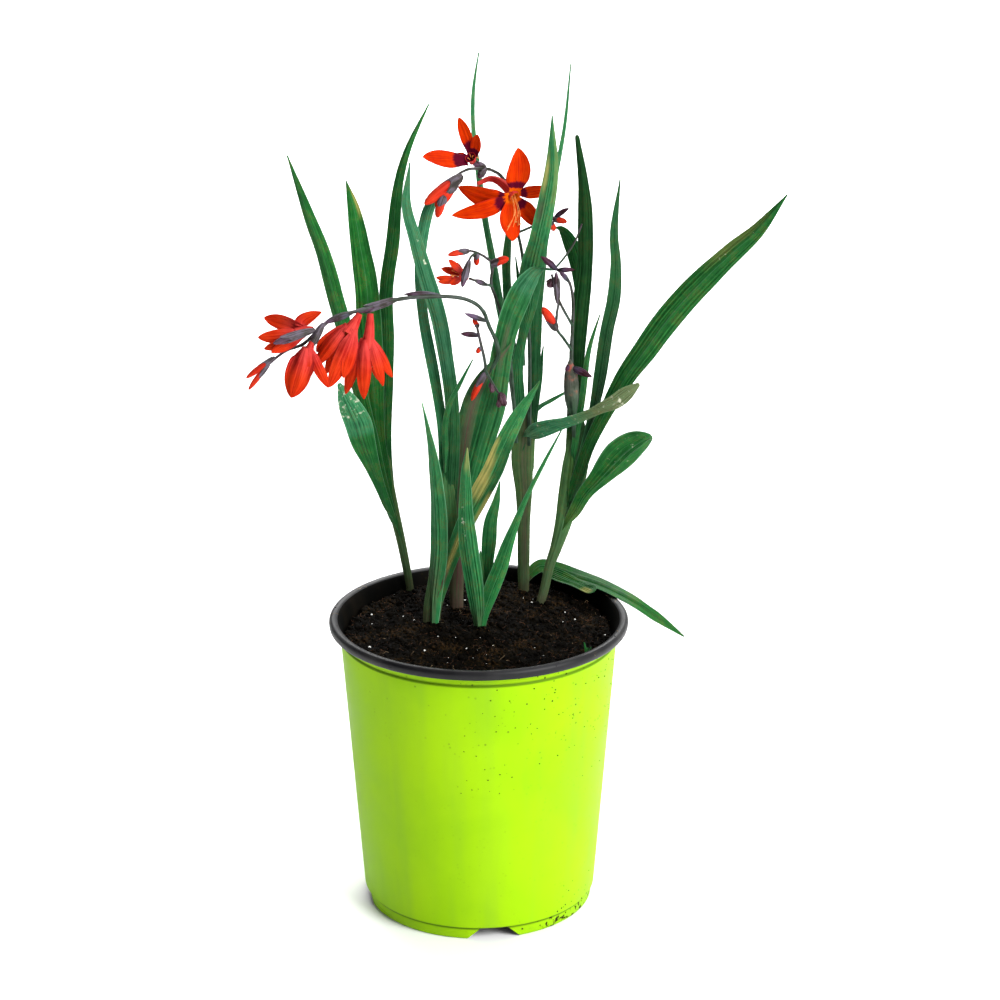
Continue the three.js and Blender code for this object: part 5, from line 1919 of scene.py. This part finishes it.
SHOOTS = (
    Shoot("shoot_left", purple=0.4, olive=0.2, foot=(-41, 61, 4.5), stalk=(
        (-43, 62, 178, 5), (-46, 65, 193, 5.5), (-50, 67, 211, 6.5), (-54, 69, 229, 8), (-56, 71, 247, 7),
    ), leaves=(
        Leaf((10, -25), 0.42, 0.1, patches=(Patch(LIGHT, 0.8, 1.1, 0.16, 0.4, 1.2),), rib=(
            (-48, 66, 196, 4.5), (-53, 69, 223, 7), (-55, 71, 253, 8), (-54, 71, 283, 8.5),
            (-53, 72, 313, 8.5), (-53, 74, 342, 8), (-49, 76, 371, 8), (-46, 78, 400, 6),
            (-40, 80, 423, 4), (-28, 84, 448, 0.6),
        )),
        Leaf((0, 15), 0.46, 0.02, patches=(
            Patch(LIGHT, 0.6, 0.96, 0.2, 0.1, 0.8), Patch(YELLOW, 0.86, 0.96, 0.65, 0.72, 1.2),
        ), rib=(
            (-49, 66, 199, 4.5), (-54, 68, 229, 6), (-59, 69, 259, 8.5), (-61, 67, 290, 13),
            (-62.5, 65, 321, 14.4), (-64, 64, 348, 13.4), (-67, 62, 371, 11), (-70, 60, 392, 7.5),
            (-74, 57, 410, 0.6),
        )),
        Leaf((0, -20), 0.46, 0.06, patches=(Patch(LIGHT, 0.5, 0.9, 0.12, 0.3, 1.2),), rib=(
            (-48, 65, 198, 4.5), (-56, 66, 227, 6), (-62, 65, 255, 7.5), (-68, 62, 283, 8.5),
            (-74, 57, 314, 9.5), (-80, 51, 341, 10), (-86, 46, 368, 9), (-94, 41, 394, 7),
            (-105, 36, 429, 0.6),
        )),
        Leaf((0, 10), 0.5, 0.15, patches=(
            Patch(BLUE, 0.55, 1.1, 0.5), Patch(LIGHT, 0.55, 1.1, 0.12), Patch(PALE, 0.7, 1.1, 0.31),
        ), rib=(
            (-49, 64, 201, 4), (-56, 63, 222, 5.5), (-62, 62, 240, 9), (-67, 60, 256, 14.5),
            (-70, 57, 269, 15.5), (-75, 54, 281, 12), (-80, 53, 293, 2),
        )),
    )),
    Shoot("shoot_front_left", purple=0.45, olive=0.1, flat=0.4, foot=(-27, 16, 10.5), stalk=(
        (-26, 16, 173, 11), (-22, 18, 189, 13.5), (-19, 19, 205, 15.5), (-19, 20, 222, 15),
        (-19, 22, 238, 11),
    ), leaves=(
        Leaf((-25, -60), 0.84, 0.4, patches=(
            Patch(BROWN, 0, 0.24, 0.5, -0.2, 0.75, 0.08), Patch(LIGHT, 0, 0.15, 0.1),
        ), rib=(
            (-26, 14, 157, 5), (-25, 14.5, 180, 9.5), (-22.5, 15.5, 205, 12), (-22.5, 15.5, 226, 12),
            (-24, 14, 248, 10.5), (-25.5, 11, 265, 8), (-28, 7, 280, 5), (-31, 2, 297, 0.6),
        )),
        Leaf((5, 35), 0.24, 0.35, patches=(
            Patch(BLUE, 0.4, 1.1, 0.45), Patch(LIGHT, 0.62, 1.1, 0.2, soft=0.16),
            Patch(PALE, 0.76, 0.8, 0.45, 0.45, 0.75), Patch(PALE, 0.7, 0.72, 0.5, 0.5, 0.8, 0.008),
        ), rib=(
            (-20, 20, 198, 8), (-17, 23, 233, 9), (-15, 25, 262, 9), (-15, 28, 288, 8),
            (-18, 31, 313, 8.5), (-22, 34, 336, 9.5), (-29, 38, 359, 9.5), (-35, 41, 380, 8),
            (-40, 45, 399, 6), (-38, 50, 422, 0.6),
        )),
        Leaf((30, -10), 0.56, 0.55, patches=(Patch(BLUE, 0.4, 1.1, 0.3),), rib=(
            (-22, 21, 197, 5), (-20, 24, 232, 5.5), (-20, 28, 267, 6), (-23, 33, 291, 6),
            (-27, 38, 313, 6.5), (-31, 43, 334, 6), (-33, 49, 357, 6), (-32, 54, 375, 6.5),
            (-28, 60, 393, 6.5), (-20, 66, 405, 1.5),
        )),
        Leaf((-10, 10), 0.58, 0.3, patches=(
            Patch(YELLOW, 0.1, 0.34, 0.85, 0.34, 0.62), Patch(BROWN, -0.1, 0.12, 0.8, 0.3, 0.66),
            Patch(YELLOW, 0.42, 0.52, 0.75, -0.2, 0.6), Patch(YELLOW, 0.5, 0.61, 0.75, -0.2, 0.42),
            Patch(YELLOW, 0.59, 0.69, 0.75, -0.2, 0.22), Patch(LIGHT, 0.42, 0.7, -0.3, 0.6, 1.2),
            Patch(YELLOW, 0.34, 0.46, 0.8, 0.82, 1.2), Patch(LIGHT, 0.72, 0.95, 0.08),
        ), rib=(
            (-24, 15, 175, 7), (-18, 14, 194, 8), (-12, 13, 211, 9), (-6, 12, 226, 10.5),
            (1, 10, 241, 11.5), (8, 9, 255, 11.5), (14, 7, 271, 10.5), (19, 4, 283, 9.5),
            (25, 1, 295, 6.5), (34, -3, 311, 0.6),
        )),
        Leaf((0, 20), 0.42, 0.3, rib=(
            (-18, 24, 250, 3.5), (-19, 21, 275, 3.5), (-16, 17, 292, 3), (-11, 14, 303, 2.5),
            (-3, 9, 320, 0.6),
        )),
    )),
    Shoot("shoot_middle", purple=0.8, stripe=0.6, olive=0.0, foot=(-13, 34, 8), stalk=(
        (-13, 36, 176, 8.5), (-12, 37, 197, 8.5), (-11, 39, 221, 9), (-10, 38, 246, 9.5),
        (-8, 36, 267, 11), (-4, 35, 286, 11.5), (2, 34, 300, 9.5), (10, 33.5, 311, 6),
    ), leaves=(
        Leaf((0, 15), 0.4, 0.3, patches=(
            Patch(LIGHT, -0.1, 0.2, 0.16), Patch(BROWN, 0.42, 0.58, 0.5, 0.4, 0.6),
            Patch(LIGHT, 0.4, 0.95, 0.35, -0.2, 0.04), Patch(BLUE, 0.72, 1.1, 0.4),
        ), rib=(
            (-11, 39, 209, 8), (-5, 38, 237, 12), (1, 36, 261, 14.5), (7, 35, 283, 16), (11, 34, 303, 13),
            (14, 35, 321, 12), (18, 36, 336, 13), (23, 39, 348, 13.5), (28, 43, 356, 10.5),
            (34, 48, 361, 6), (44, 55, 359, 0.6),
        )),
    )),
    Shoot("shoot_front_short", purple=0.15, olive=0.05, flat=0.4, foot=(1, 5, 7), stalk=(
        (1, 5, 172, 8), (1, 6, 183, 8.5), (1, 6, 194, 5),
    ), leaves=(
        Leaf((-10, -20), 0.7, 0.36, patches=(
            Patch(BROWN, -0.1, 0.16, 0.4, soft=0.08), Patch(PALE, 0.5, 0.7, 0.32, 0.2, 0.5),
            Patch(YELLOW, 0.88, 1.1, 0.45, 0.3, 1.2), Patch(LIGHT, 0.1, 0.7, 0.15, -0.2, 0.16),
        ), rib=(
            (0, 3.6, 164, 5.5), (-0.5, 3.6, 171, 7.5), (-2, 3.4, 185, 10), (-4, 3, 200, 11),
            (-6, 2.4, 216, 11), (-7, 1, 231, 9), (-7, -1, 246, 7), (-7, -4, 260, 5), (-6, -8, 274, 0.6),
        )),
        Leaf((5, 20), 0.52, 0.25, rib=(
            (2, 6, 172, 5), (4, 8, 187, 7), (5, 9, 202, 7.5), (6, 9, 214, 8.5), (7, 8, 226, 7.5),
            (10, 7, 238, 4.5), (12, 5, 250, 0.6),
        )),
        Leaf((10, 35), 0.64, 0.25, patches=(
            Patch(LIGHT, -0.1, 1.1, -0.14, -0.2, 0.4, 0.08), Patch(LIGHT, 0.2, 0.6, 0.15, 0.8, 1.2),
        ), rib=(
            (1.5, 4.2, 164, 5), (3, 4.2, 172, 7), (7, 4.2, 185, 9.5), (12, 3, 199, 10), (16, 0, 213, 8),
            (21, -4, 229, 5), (27, -9, 246, 3.5), (36, -15, 267, 2.8), (46, -21, 289, 0.6),
        )),
    )),
    Shoot("shoot_rear", purple=0.45, olive=0.16, stripe=0.5, foot=(26, 59, 6.5), stalk=(
        (26, 60, 173, 7), (26, 62, 188, 7.5), (26, 64, 206, 8), (26, 66, 224, 10.5), (25, 66, 243, 13.5),
        (26, 65, 262, 13),
    ), leaves=(
        Leaf((0, 5), 0.44, 0.4, patches=(
            Patch(LIGHT, 0.68, 1.1, 0.14), Patch(BROWN, 0.72, 0.79, 0.55, 0.1, 0.4),
            Patch(YELLOW, 0.82, 0.91, 0.7, 0.04, 0.3), Patch(YELLOW, 0.78, 1, 0.2, 0.7, 1.2),
        ), rib=(
            (25, 68, 240, 3), (23, 65, 274, 7.5), (22, 62, 298, 7), (25, 60, 319, 5.5),
            (29, 59, 338, 8.5), (30, 58, 357, 13.5), (34, 56, 377, 11), (38, 55, 397, 10),
            (41, 53, 419, 7.5), (41, 51, 448, 0.6),
        )),
        Leaf((5, 30), 0.34, 0.35, rib=(
            (28, 66, 249, 7), (31, 67, 273, 7), (32, 68, 303, 7), (33, 69, 330, 7), (34, 70, 347, 5.5),
            (35, 71, 365, 0.6),
        )),
        Leaf((40, 62), 0.42, 0.45, patches=(Patch(LIGHT, 0.3, 1, 0.12),), rib=(
            (24, 68, 248, 5), (21, 71, 278, 6), (17, 75, 307, 6.5), (12, 79, 332, 6.5), (8, 84, 356, 6),
            (4, 88, 378, 5.5), (0, 92, 404, 5), (-3, 96, 431, 4), (-3, 99, 453, 3.5), (0, 101, 474, 0.6),
        )),
        Leaf((20, 45), 0.34, 0.3, rib=(
            (25, 66, 255, 5), (21, 68, 287, 5.5), (18, 71, 320, 5.5), (16, 72, 346, 6), (16, 74, 364, 6),
            (19, 76, 395, 0.6),
        )),
        Leaf((30, 60), 0.4, 0.4, patches=(Patch(LIGHT, 0.4, 1, 0.14),), rib=(
            (28, 67, 251, 5), (31, 71, 283, 6), (33, 76, 318, 6.5), (36, 80, 352, 6), (39, 83, 383, 5.5),
            (44, 87, 408, 4.5), (49, 90, 436, 3.5), (52, 93, 469, 0.6),
        )),
        Leaf((0, 20), 0.4, 0.3, rib=(
            (30, 67, 254, 3.5), (33, 68, 278, 4), (35, 69, 293, 3.5), (37, 70, 310, 0.6),
        )),
        Leaf((0, 20), 0.32, 0.3, rib=(
            (24, 68, 300, 3), (25, 67.5, 321, 3.5), (24, 68, 338, 3.5), (21, 69, 363, 0.6),
        )),
        Leaf((-40, -10), 0.86, 0.8, fold=0.04, patches=(
            Patch(BROWN, -0.1, 0.2, 0.35), Patch(PALE, 0.1, 1.1, 0.24, soft=0.1),
            Patch(YELLOW, 0.5, 1.1, 0.34, soft=0.12), Patch(BROWN, 0.5, 1.1, 0.5, soft=0.12),
            Patch(PALE, 0.78, 0.82, 0.3, 0.5, 1),
        ), rib=(
            (27, 62, 257.5, 4), (30, 58, 261, 8), (35, 53, 265, 10.5), (44, 44, 271, 9.5),
            (54, 34, 277, 7), (63, 27, 283, 5.5), (70, 23, 288, 6.5), (77, 21, 292, 8.5),
            (83, 20, 297, 8), (90, 19, 303, 2),
        )),
        Leaf((0, 20), 0.5, 0.4, rib=(
            (27, 67, 266, 4), (35, 71, 273, 2.6), (42, 75, 276, 2.4), (55, 80, 282, 0.8),
        )),
        *FALLEN,
    )),
    Shoot("shoot_right", purple=0.5, olive=0.12, foot=(36, 40, 5.5), stalk=(
        (38, 41, 172, 5.5), (41, 42, 186, 6), (45, 43, 198, 7.5), (49, 44, 213, 10.5),
        (52, 45, 228, 13.5), (55, 45, 246, 15), (57, 45, 260, 13),
    ), leaves=(
        Leaf((-5, -25), 0.14, 0.1, patches=(
            Patch(LIGHT, -0.1, 0.14, 0.24, soft=0.1), Patch(YELLOW, -0.1, 0.16, 0.08),
        ), rib=(
            (51, 45, 225, 8), (54, 45, 255, 9), (55, 46, 285, 9), (56, 48, 314, 9), (58, 51, 340, 10),
            (60, 54, 362, 9), (60, 57, 388, 9), (59, 59, 407, 6.5), (55, 62, 435, 2.5),
        )),
        Leaf((10, -40), 0.42, 0.12, rib=(
            (55, 48, 261, 5.5), (56, 52, 290, 6), (57, 57, 318, 6), (58, 62, 341, 6.5), (56, 66, 358, 8),
            (52, 70, 371, 9), (47, 73, 378, 5), (40, 76, 379, 0.6),
        )),
        Leaf((10, 45), 0.14, 0.3, patches=(
            Patch(LIGHT, 0.6, 1.1, 0.1, soft=0.1), Patch(LIGHT, -0.1, 0.12, 0.2, soft=0.08),
        ), rib=(
            (54, 44, 229, 7), (60, 42, 253, 7), (65, 42, 278, 6), (69, 41, 302, 8), (72, 42, 325, 9),
            (76, 44, 345, 9), (77, 46, 364, 7.5), (76, 48, 384, 6), (79, 51, 412, 0.6),
        )),
        Leaf((0, -25), 0.3, 0.06, patches=(
            Patch(LIGHT, 0.5, 1.1, 0.14, soft=0.2), Patch(LIGHT, -0.1, 0.1, 0.1, soft=0.1),
            Patch(YELLOW, 0.74, 0.93, 0.22, -0.2, 0.34, 0.05), Patch(PALE, 0.7, 0.92, 0.22, -0.2, 0.5),
            Patch(PALE, 0.6, 0.606, 0.6, -0.2, 0.1, 0.006),
        ), rib=(
            (51, 44, 222, 7), (57, 42, 241, 7), (63, 40, 260, 7), (71, 36, 279, 8.2), (82, 31, 302, 11),
            (94, 25, 322, 13.6), (108, 18, 344.5, 14.5), (124.5, 10, 366, 13.4), (139, 2, 383, 11.2),
            (152, -5, 397.5, 7.8), (166, -13, 418.5, 0.6),
        )),
        Leaf((0, 30), 0.38, 0.2, rib=(
            (53, 44, 244, 4), (56, 42, 268, 4), (59, 40, 290, 4), (62, 38, 316, 3), (68, 36, 338, 0.6),
        )),
        Leaf((0, 15), 0.42, 0.06, fold=0.06, patches=(
            Patch(PALE, 0.5, 1, 0.2, 0.1, 0.9), Patch(YELLOW, -0.1, 0.2, 0.08),
        ), rib=(
            (48, 44, 207, 5), (55, 41, 219.5, 7.5), (61, 37, 232, 9.5), (68.5, 33, 242.5, 13.5),
            (76, 29, 253, 20), (83, 26, 262, 22.3), (91, 24, 268.5, 19.5), (97, 22.5, 272, 12),
        )),
    )),
)

SPRAYS = (
    Spray("spray_left", stems=(
        (
            (6, 34, 305, 2.6), (11, 32.6, 315, 2.4), (10, 30.5, 324, 2.3), (6, 28, 334, 2.2),
            (3, 24.5, 343, 2.2), (-2, 21, 349, 2.2), (-11, 18, 353, 2.2), (-26, 13, 355, 2.2),
            (-42, 8, 355, 2.2), (-55, 3, 353, 2.2), (-66, -1, 350.5, 2), (-78, -4, 348, 2),
            (-87, -5.5, 341, 2), (-96, -2, 332, 1.8), (-105, -4, 329, 1.6), (-113, -8, 324, 1.4),
        ),
    ), buds=(
        Bud((-20, 16, 354.5), (-41, 10.5, 357), 4.6, BRACT),
        Bud((-44, 8, 355), (-66, 0, 349.5), 5.4, CALYX),
        Bud((-68, -1, 350), (-85, -6, 344.5), 4.4, BRACT),
        Bud((-84, -5.5, 345), (-92, -10, 331), 5.4, CALYX),
        Bud((-89, -8, 342), (-111, -18, 337), 5.8, CALYX),
        Bud((-111, -7, 326), (-127, -10, 315), 3.6, RED),
        Bud((-114, -8, 323.5), (-126, -9, 308), 3.2, RED), Bud((5, 26, 337), (-8, 22, 343), 3.4, BRACT),
    )),
    Spray("spray_low", stems=(
        ((3, 34, 300, 2.2), (4, 31, 308, 1.9), (3, 30, 316, 1.7), (1, 29, 325, 1.6), (-1, 28, 335, 1.4)),
        ((4, 31, 307, 1.7), (8, 28.6, 300, 1.5), (13, 28.4, 292, 1.3)),
    ), buds=(
        Bud((4, 31, 306), (-4, 29, 290), 3.8, RED), Bud((0.5, 29, 328), (-10, 26, 330), 4, DARK),
        Bud((0, 28.5, 333), (-3, 27, 338), 2.8, RED), Bud((1.5, 29.5, 321), (-1, 27, 318.5), 2.8, RED),
        Bud((7, 29, 301), (8, 28, 295), 3.2, WITHERED),
        Bud((12, 28.5, 295), (15, 28, 287), 4.6, WITHERED),
        Bud((13, 28.5, 293), (11, 27.5, 286.5), 3.4, WITHERED),
    )),
    Spray("spray_centre", stems=(
        (
            (21.5, 64, 254, 2.4), (20, 59, 279, 2.2), (18, 55, 305, 2.1), (16, 52.5, 322, 2),
            (13, 51, 334, 1.9), (9.5, 50, 345, 1.8), (7, 50, 353, 1.7), (8, 50.5, 363, 1.6),
            (5, 50, 367, 1.5), (-1, 48, 371, 1.4), (-7, 46, 373, 1.3),
        ),
        ((7.5, 50, 351, 1.6), (2, 46, 354, 1.5), (-5, 42, 357.5, 1.4)),
        ((-1, 48, 371, 1.3), (-4, 43, 370, 1.3), (-6, 39, 367, 1.3)),
    ), buds=(
        Bud((-5, 46, 372.5), (-17, 42, 371), 3.6, RED), Bud((-1, 47.5, 370.5), (-1, 46, 364), 3.6, RED),
        Bud((7, 50, 363.5), (17, 49, 367.5), 4.8, RED), Bud((5, 48, 352), (-3, 43.5, 356.5), 3.4, BRACT),
        Bud((-5, 40, 368.5), (-9, 32.5, 355), 4.8, CALYX),
    )),
    Spray("spray_top", stems=(
        (
            (29, 65, 252, 2.8), (29, 62, 281, 2.4), (29, 64.5, 312, 2.2), (27, 68, 340, 2),
            (25, 71, 362, 1.9), (22, 75, 377, 1.8), (19, 79, 391, 1.8), (16, 81, 402, 1.8),
            (12, 81, 408, 1.8), (6, 77, 412, 1.8), (0, 70, 414, 1.7), (-6, 63, 415, 1.6),
            (-12, 57, 413, 1.5), (-16, 53, 409, 1.4), (-22, 48, 400, 1.2),
        ),
        ((22.5, 74.5, 376, 1.5), (31, 73, 380, 1.4), (38, 71, 383, 1.4), (45, 69, 387, 1.2)),
    ), buds=(
        Bud((4, 75, 413), (0, 70.5, 408.5), 5.2, CALYX), Bud((4, 75.5, 413.5), (-3, 71.5, 416), 5, CALYX),
        Bud((-9, 58.5, 412.5), (-30, 47, 399), 7, RED), Bud((-12, 57, 411), (-22, 50, 397), 6.5, RED),
        Bud((-19, 50, 403), (-23, 46, 391.5), 5, RED), Bud((-15, 54, 407.5), (-24, 49, 397), 4.6, RED),
        Bud((43, 69.5, 386), (51, 67, 392), 3.6, DARK), Bud((41, 70, 384.5), (41, 67, 388.5), 3.8, DARK),
        Bud((42, 70, 385), (50, 67, 384), 3.6, RED), Bud((40, 70.5, 383.5), (43, 68, 378.5), 3.8, RED),
    )),
    Spray("spray_right", stems=(
        (
            (55, 45, 256, 3), (54, 40.5, 275, 2.6), (53, 38.5, 290, 2.4), (52.5, 38, 303, 2.2),
            (52.5, 38.5, 320, 2), (53, 40, 334, 1.8), (53, 42, 346, 1.7), (51, 43.5, 355, 1.6),
            (47, 45, 359.5, 1.5), (43, 46, 363, 1.4),
        ),
        (
            (52.5, 38.2, 317, 1.8), (48, 37, 324, 1.7), (44, 36.5, 330, 1.7), (44, 37.5, 338, 1.5),
            (45, 39, 346, 1.5), (43, 41, 353, 1.4), (41, 42, 360, 1.3),
        ),
        ((53, 38.6, 331, 1.6), (48, 38.5, 340, 1.6), (45, 39, 346, 1.5)),
        ((43, 46, 362.5, 1.3), (48, 47.5, 368, 1.2), (54, 49, 377, 1.1), (58, 50, 387, 0.9)),
    ), buds=(
        Bud((53.5, 40, 276), (51.5, 36.5, 312), 8.6, SHEATH),
        Bud((44, 36.6, 329), (36, 34, 343), 5.4, RED),
        Bud((44.5, 38.5, 344), (43.5, 39.5, 362), 4.4, CALYX),
        Bud((41, 42, 357.5), (39.5, 41, 352.5), 4.6, WITHERED),
        Bud((44, 46, 361.5), (35, 43, 370), 4.6, DARK),
        Bud((44, 45.5, 361.5), (54, 46, 361.5), 3.6, DARK),
        Bud((51, 43.5, 355), (45, 44, 361.5), 3.2, BRACT), Bud((52, 37.5, 307), (64, 31.5, 303), 5, DARK),
        Bud((52, 37.5, 309), (49, 34.5, 305.5), 3.4, DARK),
    )),
)

BLOOMS = (
    Bloom("bloom_left_outer", root=0.85, mouth=8, turn=2.0, closed=True, lift=0.1, stamens=3,
        hang=(-6, 1, -1), run=((-90, -5.9, 342.1), (-95, -4.6, 341), (-99, -4.8, 339.2)), petals=(
            (-117.2, 0, 346.4, 9), (-120.1, -8, 337.6, 8), (-116.6, -12, 332.2, 6.5),
            (-112.7, -14, 330.8, 6.5), (-85.7, 2, 349.2, 7.7), (-106.2, 3.5, 335, 6.6),
        )),
    Bloom("bloom_left_lower", root=0.8, mouth=7.5, base=3, turn=1.6, closed=True, lift=0.12, stamens=3,
        hang=(-2, 2, -8), run=((-90.5, -9.6, 335.6), (-91.6, -11, 332.6), (-93, -12.4, 329.6)), petals=(
            (-101.6, -22, 307.4, 15), (-81.5, -20, 312.5, 6.5), (-97.8, -8, 308.8, 8),
            (-103.4, -10, 315.4, 8), (-93.5, -16, 316, 7), (-93.5, -6, 316, 6),
        )),
    Bloom("bloom_left_inner", root=0.8, mouth=10.5, base=3.2, turn=1.6, closed=True, lift=0.1, stamens=3,
        hang=(-5, -2, -9), run=((-64.6, -2.1, 349.3), (-67.4, -4, 344.6), (-71, -7, 339)), petals=(
            (-88.5, -11, 322, 9), (-81.5, -17, 311.8, 9.5), (-73.6, -16, 316.9, 8), (-84, -4, 315.5, 8),
            (-75.1, -6, 317.9, 7), (-88.5, -5, 328.5, 9),
        )),
    Bloom("bloom_left_hanging", root=0.8, mouth=9, base=3.4, turn=1.6, closed=True, lift=0.12, stamens=3,
        hang=(-1, 0, -12), run=((-59, 1.6, 348.4), (-59.5, 0.5, 339), (-60.8, 0, 330)), petals=(
            (-47.4, -2, 313, 6.1), (-52.2, -8, 309.9, 6), (-62.7, -9, 302.7, 8.2),
            (-72.8, -4, 304.1, 8.3), (-69.9, 6, 308.5, 6.6), (-55.5, 6, 309.1, 6.6),
        )),
    Bloom("bloom_top_left", root=0.6, glow=0.0, lift=0.06, stamens=3, hang=(2, 9, -3), run=(
        (-4.1, 70.7, 416.7), (-3.5, 69.5, 419), (-4.5, 67.5, 421),
    ), petals=(
        (-30.9, 58, 423.6, 10.5), (-10.8, 63, 444.3, 7), (-0.5, 64, 434.6, 6.8), (0.2, 80, 427.7, 6.8),
        (-18.4, 78, 415, 6.8), (-16, 76, 418, 5.7),
    )),
    Bloom("bloom_top_front", plain=(3,), lift=0.03, stamens=6, hang=(-1, -6, -17), run=(
        (-0.5, 69, 405.5), (7, 73, 407.5), (14, 71.5, 404.5), (20.3, 64, 399.1),
    ), petals=(
        (22.4, 61, 427.8, 14.5), (41.9, 66, 403.2, 8), (35.2, 58, 383.3, 9.5), (19.4, 55, 375.9, 13.5),
        (-14.9, 58, 389.9, 10.5), (-11.6, 68, 403.9, 13),
    )),
    Bloom("bloom_centre", root=0.75, turn=1.6, closed=True, lift=0.2, stamens=3, hang=(-3, 0.5, 0), run=(
        (-5.6, 41.9, 357.7), (-8.5, 42, 358.6), (-11, 42, 359.3),
    ), petals=(
        (-23.6, 40, 358.9, 4.5), (-16.6, 43, 367.9, 4.5), (-20.9, 46, 362.3, 4.5), (-16.3, 37, 356, 3.9),
        (-13.1, 48, 365.2, 3.9), (-22.5, 39, 356.6, 3.9),
    )),
)


def main() -> None:
    """Builds the plant, its pot and the studio, in order."""
    logging.basicConfig(level=logging.INFO, format="%(message)s")
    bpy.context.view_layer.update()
    Studio().build()
    leaf = LeafFinish("leaf_ribbed").build()
    stem = StemFinish("stem_slate").build()
    petal = PetalFinish("petal_carmine").build()
    filament = SpeckFinish("filament_pale", tint(214, 108, 44), tint(232, 150, 84)).build()
    anther = SpeckFinish("anther_dusty", tint(190, 110, 50), tint(226, 166, 96), 2400).build()
    for shoot in SHOOTS:
        shoot.build(leaf)
    for spray in SPRAYS:
        spray.build(stem, petal)
    for bloom in BLOOMS:
        bloom.build([petal, filament, anther])
    lime, worn, dust = tint(136, 184, 3), tint(146, 192, 6), tint(112, 154, 44)
    # The lime wall gets painted shade lines at the foot's ledge and at the neck step.
    green = PlasticFinish("pot_lime", lime, worn, 0.5, dust, 0.3, 1.0, 0.07, (0.0071, 0.1607))
    black = PlasticFinish("pot_black", tint(4, 4, 3), tint(7, 7, 6), 0.7, tint(24, 19, 13), 0.4, 0.6, 0.03)
    charcoal, worn, dust = tint(12, 12, 15), tint(23, 23, 26), tint(66, 64, 62)
    rim = PlasticFinish("pot_charcoal_rim", charcoal, worn, 0.42, dust, 0.25, 0.5, 0.22)
    pot = Pot().build([green.build(), black.build(), rim.build()])
    earth = EarthFinish("soil_peat").build()
    soil = Soil()
    top = skin(soil.build(earth), soil.is_top)
    crumb = EarthFinish("soil_crumb", tint(4, 3, 2), tint(12, 9, 5), tint(48, 34, 18)).build()
    strand = SpeckFinish("peat_strand", tint(34, 21, 12), tint(84, 54, 32)).build()
    root = SpeckFinish("root_pale", tint(90, 72, 50), tint(140, 122, 94)).build()
    white = SpeckFinish("perlite_white", tint(196, 196, 190), tint(236, 236, 232)).build()
    Scatter("soil_crumbs", "soil", 230000, 0.4, 1.2, (0.6, 1.0), 3).lumps(top, crumb)
    Scatter("soil_clods", "soil", 22000, 1.1, 2.3, (0.6, 0.9), 11, facets=2).lumps(top, crumb)
    Scatter("soil_strands", "soil", 30000, 2.5, 7.0, (1, 1), 21).fibres(top, strand, 0.09, 0.5)
    Scatter("soil_roots", "soil", 1300, 3.0, 9.0, (1, 1), 31).fibres(top, root, 0.09, 0.6)
    Scatter("soil_perlite", "soil", 4200, 0.25, 0.7, (0.8, 1.0), 41, True, 2).lumps(top, white)
    bpy.data.objects.remove(top)
    upper = skin(pot, Pot().is_splashed)
    Scatter("wall_dirt", "soil", 15000, 0.12, 0.5, (0.5, 0.9), 51).lumps(upper, crumb)
    bpy.data.objects.remove(upper)
    ledge = skin(pot, Pot().is_rim)
    Scatter("rim_crumbs", "soil", 9000, 0.15, 0.5, (0.5, 0.9), 61).lumps(ledge, crumb)
    Scatter("rim_roots", "soil", 5200, 2.0, 8.0, (1, 1), 71).fibres(ledge, root, 0.1, 0.15)
    bpy.data.objects.remove(ledge)
    Sprout().build(leaf)


if __name__ == "__main__":
    main()
